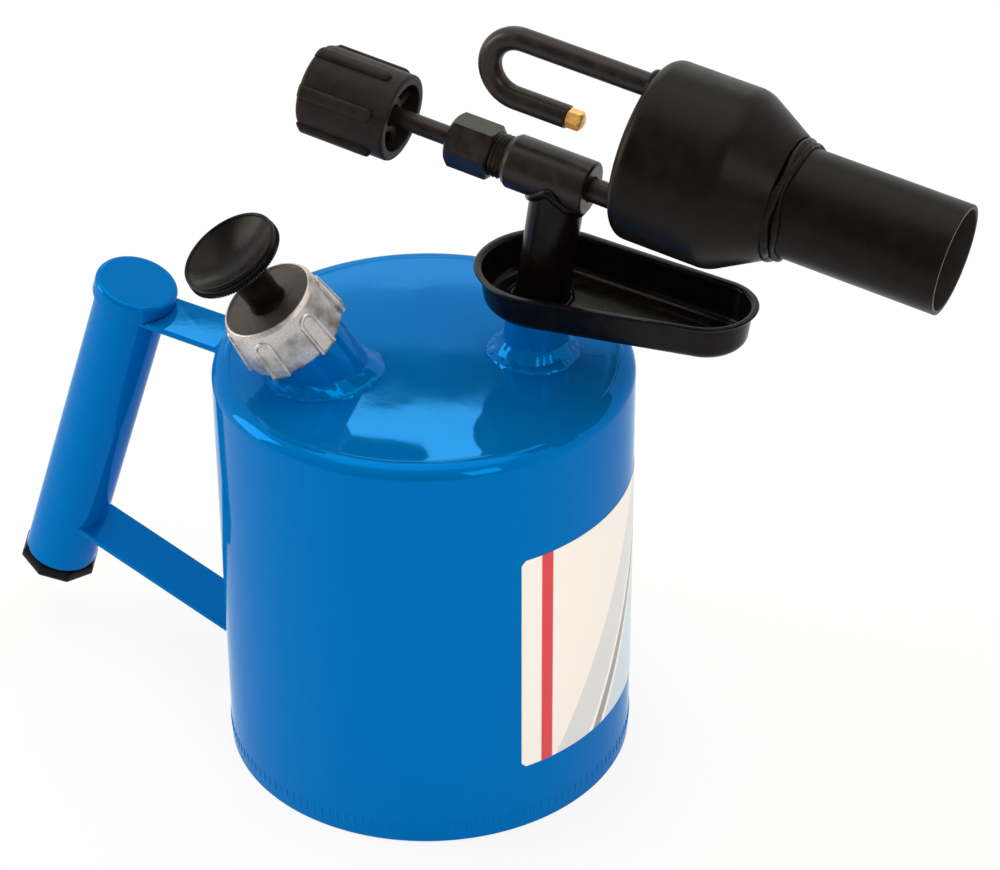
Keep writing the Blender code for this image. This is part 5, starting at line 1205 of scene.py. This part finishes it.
SPINDLE_TIP = 0.006
SPINDLE_TIP_RADIUS = 0.0007
SPINDLE_TAPER = 0.004
KNOB_FRONT = 0.0508
KNOB_LENGTH = 0.0286
KNOB_RADIUS = 0.0130
KNOB_FRONT_LAND = 0.0042
KNOB_BACK_EDGE = 0.0018
KNOB_FRONT_EDGE = 0.0009
KNOB_MOUTH_EDGE = 0.0005
KNOB_ROOT_EDGE = 0.0008
KNOB_CAVITY_RADIUS = 0.0101
KNOB_CAVITY_DEPTH = 0.0150
KNOB_CAVITY_TAPER = 0.0006
KNOB_HUB_RADIUS = 0.0052
KNOB_HUB_RECESS = 0.0030
KNOB_SOCKET_DEPTH = 0.0110
KNOB_WEBS = 4
KNOB_WEB_THICKNESS = 0.0030
KNOB_WEB_RECESS = 0.0032
KNOB_WEB_SUNK = 0.0005
KNOB_WEB_TURN = math.radians(17.0)
KNOB_RIBS = 6
KNOB_RIB_TURN = math.radians(8.5)
KNOB_RIB_WIDTH = 0.0040
KNOB_RIB_RISE = 0.0014
KNOB_RIB_SUNK = 0.0003
KNOB_RIB_LEAD_IN = 0.0016
KNOB_RIB_START = 0.25
KNOB_RIB_POINT = 0.02
KNOB_RIB_SIDE_POWER = 0.85
KNOB_RIB_BACK_POWER = 0.55
KNOB_RIB_STEPS = 16
# Shares of the way to the rib's nose; past 1.0 they go on round the nose
KNOB_RIB_ROWS = (0.0, 0.01, 0.03, 0.06, 0.5, 1.0) + tuple(1.0 + 0.1 * step for step in range(1, 11))
KNOB_BLACK = "1A1513"
KNOB_WORN = "271F1B"

knob_plastic = clouded("matt_glass_filled_plastic", KNOB_BLACK, KNOB_WORN, (5.0, 4.0, 0.6), (0.40, 0.54),
                       (0.4, 3.0, 0.7), 0.022, Specular_IOR_Level=0.12)

front = -KNOB_FRONT
back = front - KNOB_LENGTH
hub_front = front - KNOB_HUB_RECESS
socket_floor = hub_front - KNOB_SOCKET_DEPTH
floor = front - KNOB_CAVITY_DEPTH
rod_end = socket_floor + CLEARANCE
spindle = [(0.0, SPINDLE_TIP), (SPINDLE_TIP_RADIUS, SPINDLE_TIP), (SPINDLE_RADIUS, SPINDLE_TIP - SPINDLE_TAPER)]
spindle += [(SPINDLE_RADIUS, rod_end), (0.0, rod_end)]
place("valve_spindle", mesh_of(spun(spindle, 48)), burner_line, blacked, "spindle", ["spindle"])

knob = [(0.0, back), (KNOB_RADIUS, back, KNOB_BACK_EDGE), (KNOB_RADIUS, front, KNOB_FRONT_EDGE)]
knob += [(KNOB_CAVITY_RADIUS, front, KNOB_MOUTH_EDGE), (KNOB_CAVITY_RADIUS - KNOB_CAVITY_TAPER, floor, KNOB_ROOT_EDGE)]
knob += [(KNOB_HUB_RADIUS, floor, KNOB_ROOT_EDGE), (KNOB_HUB_RADIUS, hub_front), (bore, hub_front, 0.75 * TURNED_EDGE)]
knob += [(bore, socket_floor, 0.0), (0.0, socket_floor)]
knob = mesh_of(spun(softened(knob, TURNED_EDGE, closed=False), 128))
place("knob_shell", knob, burner_line, knob_plastic, "valve_knob", ["valve_knob"])

# A rib: a bar with a rounded back, a half-round nose at its front end, and no end at the knob's back edge
rib_length = KNOB_LENGTH - KNOB_FRONT_LAND - 0.3 * KNOB_BACK_EDGE
nose = 0.5 * KNOB_RIB_WIDTH
rows = []
for share in KNOB_RIB_ROWS:
    if share > 1.0:
        along = rib_length - nose + nose * math.sin((share - 1.0) * QUARTER_TURN)
        narrow = max(math.cos((share - 1.0) * QUARTER_TURN), KNOB_RIB_POINT)
    else:
        along = (rib_length - nose) * share
        narrow = 1.0
    lift = KNOB_RIB_RISE * min(1.0, KNOB_RIB_START + along / KNOB_RIB_LEAD_IN) * math.sqrt(narrow)
    row = []
    for step in range(KNOB_RIB_STEPS + 1):
        turn = math.pi * (step / KNOB_RIB_STEPS - 0.5)
        side = nose * narrow * math.copysign(abs(math.sin(turn)) ** KNOB_RIB_SIDE_POWER, turn)
        out = KNOB_RADIUS - KNOB_RIB_SUNK + (lift + KNOB_RIB_SUNK) * math.cos(turn) ** KNOB_RIB_BACK_POWER
        row.append((out * math.cos(side / KNOB_RADIUS) - KNOB_RADIUS, out * math.sin(side / KNOB_RADIUS), along))
    rows.append(row)
ribs = grown(mesh_of(lofted(rows)), ring_tree, knob_plastic, Count=KNOB_RIBS, Radius=KNOB_RADIUS, Turn=KNOB_RIB_TURN)
place("knob_ribs", ribs, burner_line @ lifted(back + 0.3 * KNOB_BACK_EDGE), knob_plastic, "valve_knob")

# Webs in the knob's hollow front tie its hub to its wall
bm = bmesh.new()
bmesh.ops.create_cube(bm, size=1.0)
web_length = KNOB_CAVITY_RADIUS - KNOB_HUB_RADIUS + 2.0 * KNOB_WEB_SUNK
web_height = KNOB_CAVITY_DEPTH - KNOB_WEB_RECESS + KNOB_WEB_SUNK
bmesh.ops.scale(bm, verts=bm.verts, vec=(web_length, KNOB_WEB_THICKNESS, web_height))
bmesh.ops.bevel(bm, geom=bm.edges, offset=0.5 * TURNED_EDGE, segments=2, affect="EDGES")
webs = grown(mesh_of(bm), ring_tree, knob_plastic, Count=KNOB_WEBS, Turn=KNOB_WEB_TURN,
             Radius=0.5 * (KNOB_CAVITY_RADIUS + KNOB_HUB_RADIUS))
web_middle = floor + 0.5 * web_height - KNOB_WEB_SUNK
place("knob_webs", webs, burner_line @ lifted(web_middle), knob_plastic, "valve_knob")


# Burner: a sheet-steel jacket with a spun cone, a mixing tube through it and a flame tube welded on.
# Satin heat-resistant black paint, sprayed thin: dark and even, with soft highlights and a slight grain.
# Where cone and flame tube meet, the weld is laid by hand and uneven.

CASING_RISE = 0.0195
CASING_RADIUS = 0.0261
CASING_WALL = 0.0015
CASING_BACK = 0.0228
CASING_EDGE_RADIUS = 0.0042
CASING_BEND_RADIUS = 0.0050
CONE_START = 0.0516
CONE_END = 0.0660
CONE_LIP = 0.0020
MIXING_TUBE_RADIUS = 0.0137
MIXING_TUBE_WALL = 0.0012
MIXING_TUBE_STAND = 0.0025
MIXING_TUBE_LAP = 0.0100
MUZZLE_RADIUS = 0.0158
MUZZLE_WALL = 0.0014
MUZZLE_END = 0.1158
MUZZLE_TUCK = 0.0040
MUZZLE_BEADS = (
    # name, radius, how far outside the tube's wall, how far in front of the cone, phase of its sway, nodes
    ("flame_tube_bead", 0.0014, 0.0008, 0.0009, 1.0, ["muzzle_weld"]),
    ("flame_tube_second_bead", 0.0010, 0.0003, 0.0029, 3.6, []),
)
MUZZLE_BEAD_SWAY = 0.00045
MUZZLE_BEAD_WAVER = 0.00030
STOVE_BLACK = "0E0A08"
STOVE_SHINE = "17110E"
BURNT_GREY = "2C2A29"

stove_black = clouded("satin_heat_resistant_black_paint", STOVE_BLACK, STOVE_SHINE, (6.0, 4.0, 0.6), (0.29, 0.40),
                      (0.9, 3.0, 0.6), 0.030, Specular_IOR_Level=0.10)

# Bare steel inside the flame tube, dull and grey from the flame
burnt_steel, tree, shader = finish("flame_greyed_steel", BURNT_GREY, 0.55, 0.3)
drift = grain(tree, 4.0, 4.0, 0.6)
tree.links.new(tinted(tree, spread(tree, drift, 0.35, 0.75), BURNT_GREY, STOVE_SHINE), shader.inputs["Base Color"])
raised(tree, shader, grain(tree, 1.0, 3.0, 0.6), 0.030)

casing_line = burner_line @ Matrix.Translation((-CASING_RISE, 0.0, 0.0))
mouth = MIXING_TUBE_RADIUS + CLEARANCE
cone_radius = MUZZLE_RADIUS + CLEARANCE + CONE_LIP
casing = [(mouth, CASING_BACK, 0.0), (CASING_RADIUS, CASING_BACK, CASING_EDGE_RADIUS)]
casing += [(CASING_RADIUS, CONE_START, 2.0 * CASING_BEND_RADIUS), (cone_radius, CONE_END, 0.3 * CONE_LIP)]
inside = CASING_RADIUS - CASING_WALL
casing += [(MUZZLE_RADIUS + CLEARANCE, CONE_END, 0.0), (inside, CONE_START, CASING_BEND_RADIUS)]
casing += [(inside, CASING_BACK + CASING_WALL, CASING_EDGE_RADIUS - CASING_WALL)]
casing += [(mouth, CASING_BACK + CASING_WALL, 0.0)]
place("jacket", mesh_of(spun(softened(casing, TURNED_EDGE, steps=8), 160)), casing_line, stove_black, "lamp",
      ["vaporiser_casing"])

for name, radius, wall, low, high, node in (
    ("air_tube", MIXING_TUBE_RADIUS, MIXING_TUBE_WALL, CASING_BACK - MIXING_TUBE_STAND,
     CONE_END - MUZZLE_TUCK + MIXING_TUBE_LAP, "mixing_tube"),
    ("flame_tube", MUZZLE_RADIUS, MUZZLE_WALL, CONE_END - MUZZLE_TUCK, MUZZLE_END, "muzzle_tube"),
):
    tube = mesh_of(spun(softened(tube_line(radius, radius - wall, low, high), 0.75 * TURNED_EDGE), 128))
    tube.materials.append(stove_black)
    tube.materials.append(burnt_steel)
    for face in tube.polygons:
        if face.normal.x * face.center.x + face.normal.y * face.center.y < -0.9 * (radius - wall):
            face.material_index = 1
    place(name, tube, casing_line, stove_black, "lamp", [node])

# Two thin uneven runs, one on the cone's lip and one on the tube, that cross over each other in places
for name, radius, out, high, phase, nodes in MUZZLE_BEADS:
    run = ring_round(MUZZLE_RADIUS + out, lambda angle: (
        CONE_END + high + MUZZLE_BEAD_SWAY * math.sin(2.0 * angle + phase)
        + MUZZLE_BEAD_WAVER * math.sin(5.0 * angle + phase)))
    uneven = {"Lumps": 0.0045, "Lump rise": 0.0008, "Ripple rise": 0.0, "Seed": 11.0 + phase}
    bead = bead_along(run, stove_black, radius, **uneven)
    place(name, bead, casing_line, stove_black, "lamp", nodes)


# Pipes and jet: fuel goes through a short pipe into the jacket, and comes back as vapour by a hairpin pipe.
# Drawn steel pipe, chemically blackened like the valve and welded to the jacket, with a bright brass jet screwed
# into the hairpin's end.

PIPE_INSERT = 0.0035
PIPE_SOCKET_DEPTH = 0.0048
GAS_PIPE_RADIUS = 0.0034
GAS_PIPE_RISE = 0.0191
GAS_PIPE_BEND_X = 0.0170
GAS_PIPE_END_X = 0.0007
GAS_PIPE_BEND_RADIUS = 0.00935
PIPE_BEAD_OUT = 0.0005
PIPE_BEAD_LIFT = 0.0001
PIPE_BEAD_RADIUS = 0.0011
JET_LENGTH = 0.0045
JET_FLATS = 0.0051
JET_CHAMFER = 0.0007
JET_EDGE = 0.00012
JET_OVERRUN = 0.001
JET_ORIFICE_RADIUS = 0.0005
JET_ORIFICE_DEPTH = 0.0030
JET_STEM_RADIUS = 0.0019
BRASS = "FFC878"
BRASS_SHADE = "E8A850"

low = VALVE_FRONT - PIPE_SOCKET_DEPTH + CLEARANCE
high = CASING_BACK + PIPE_INSERT
pipe = softened(tube_line(FEED_PIPE_RADIUS, 0.5 * FEED_PIPE_RADIUS, low, high), 0.5 * TURNED_EDGE)
place("fuel_pipe", mesh_of(spun(pipe, 48)), burner_line, blacked, "lamp", ["feed_pipe"])

top = CASING_RISE + GAS_PIPE_RISE
low = top - 2.0 * GAS_PIPE_BEND_RADIUS
path = [(CASING_BACK + PIPE_INSERT, top)]
path += arc((-GAS_PIPE_BEND_X, 0.5 * (top + low)), GAS_PIPE_BEND_RADIUS, QUARTER_TURN, 3.0 * QUARTER_TURN, 32)
path += [(-GAS_PIPE_END_X, low)]
line = bpy.data.meshes.new("line")
line.from_pydata([(-up, 0.0, ahead) for ahead, up in path], [(step, step + 1) for step in range(len(path) - 1)], [])
plain = {"Ripple rise": 0.0, "Lump rise": 0.0, "Sides": 40}
pipe = grown(line, bead_tree, blacked, Radius=GAS_PIPE_RADIUS, **plain)
place("vapour_pipe", pipe, burner_line, blacked, "lamp", ["gas_pipe"])

for name, radius, up, node in (("fuel_pipe_bead", FEED_PIPE_RADIUS, 0.0, "feed_pipe_weld"),
                               ("vapour_pipe_bead", GAS_PIPE_RADIUS, top, "gas_pipe_weld")):
    joint = ring_round(radius + PIPE_BEAD_OUT, lambda angle: CASING_BACK - PIPE_BEAD_LIFT, -up)
    bead = bead_along(joint, stove_black, PIPE_BEAD_RADIUS, **lumpy)
    place(name, bead, burner_line, stove_black, "lamp", [node])

# Free-cutting brass, turned and milled bright, so each flat mirrors the light
brass = clouded("turned_brass", BRASS, BRASS_SHADE, (1.5, 3.0), (0.20, 0.32), (0.3, 2.0), 0.008, metallic=0.45)

head_low = CLEARANCE - GAS_PIPE_END_X
head_high = head_low + JET_LENGTH
hexagon, corner = hexagon_bar(JET_FLATS, head_low, head_high + 2.0 * JET_OVERRUN)
turning = [(0.0, head_high), (0.5 * JET_FLATS - JET_CHAMFER, head_high)]
turning += [(corner + CLEARANCE, head_high - 1.5 * JET_CHAMFER), (corner + CLEARANCE, head_low - JET_OVERRUN)]
turning += [(0.0, head_low - JET_OVERRUN)]
drill = pin_line(JET_ORIFICE_RADIUS, head_high - JET_ORIFICE_DEPTH, head_high + JET_OVERRUN)
jet = worked(hexagon, (solid_of(mesh_of(spun(turning, 64))), "INTERSECT"),
             (solid_of(mesh_of(spun(drill, 24))), "DIFFERENCE"), (JET_EDGE, "ROUND"))
jet_line = burner_line @ Matrix.Translation((-low, 0.0, 0.0))
place("jet_head", jet, jet_line, brass, "lamp", ["jet"])
stem = pin_line(JET_STEM_RADIUS, head_low - 2.0 * JET_OVERRUN, head_low + JET_OVERRUN)
place("jet_stem", mesh_of(spun(stem, 32)), jet_line, brass, "lamp")


# Inside the tank and the nut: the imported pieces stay, each with the finish of what it is made of.
# Bright zinc-plated barrel, rod and disc, brass foot valve and strainer, leather cup, fibre and graphite rings.

INNER_FINISHES = (
    # what it is and how it was made, tone, other tone, grain in mm, relief in mm, roughness, metallic, nodes
    ("bright_zinc_plate", "B4B6B8", "97999C", 2.5, 0.006, 0.28, 1.0,
     ("pump_barrel", "pump_rod", "piston_disc", "piston_nut", "fuel_tube")),
    ("oiled_leather", "8A5A34", "5E3B20", 0.8, 0.08, 0.62, 0.0, ("cup_leather",)),
    ("red_vulcanised_fibre", "8C2F22", "6F241A", 0.6, 0.03, 0.55, 0.0, ("pump_gasket",)),
    ("graphite_packing", "2B2B2D", "3D3D40", 0.7, 0.05, 0.50, 0.0, ("gland_packing",)),
)
inner_finish = {}
for name, tone, other, size_mm, depth_mm, roughness, metallic, nodes in INNER_FINISHES:
    clouds = (size_mm, 4.0, 0.6)
    inner_finish[name] = clouded(name, tone, other, clouds, (0.85 * roughness, 1.15 * roughness), clouds, depth_mm,
                                 full=0.7, metallic=metallic)
    for node in nodes:
        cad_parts[node].data.materials[0] = inner_finish[name]
for node, surface in (("foot_valve_body", brass), ("fuel_strainer", brass), ("foot_valve_poppet", moulded)):
    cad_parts[node].data.materials[0] = surface


# Foot valve spring: a coil of zinc-plated steel wire under the poppet, wound cold.
# It is as short as the open valve presses it, at rest too, because the piece keeps its shape while the poppet
# drops 1.2 mm.

SPRING_RADIUS = 0.0028
SPRING_WIRE_RADIUS = 0.00035
SPRING_TURNS = 4.0
SPRING_LOW = -0.07265
SPRING_LENGTH = 0.0096

zinc = inner_finish["bright_zinc_plate"]
coil = grown(bpy.data.meshes.new("start"), thread_tree, zinc, Turns=SPRING_TURNS, Radius=SPRING_RADIUS,
             Length=SPRING_LENGTH, Ridge=SPRING_WIRE_RADIUS)
place("foot_valve_coil", coil, pump_line @ lifted(SPRING_LOW), zinc, "pump_unit", ["foot_valve_spring"])
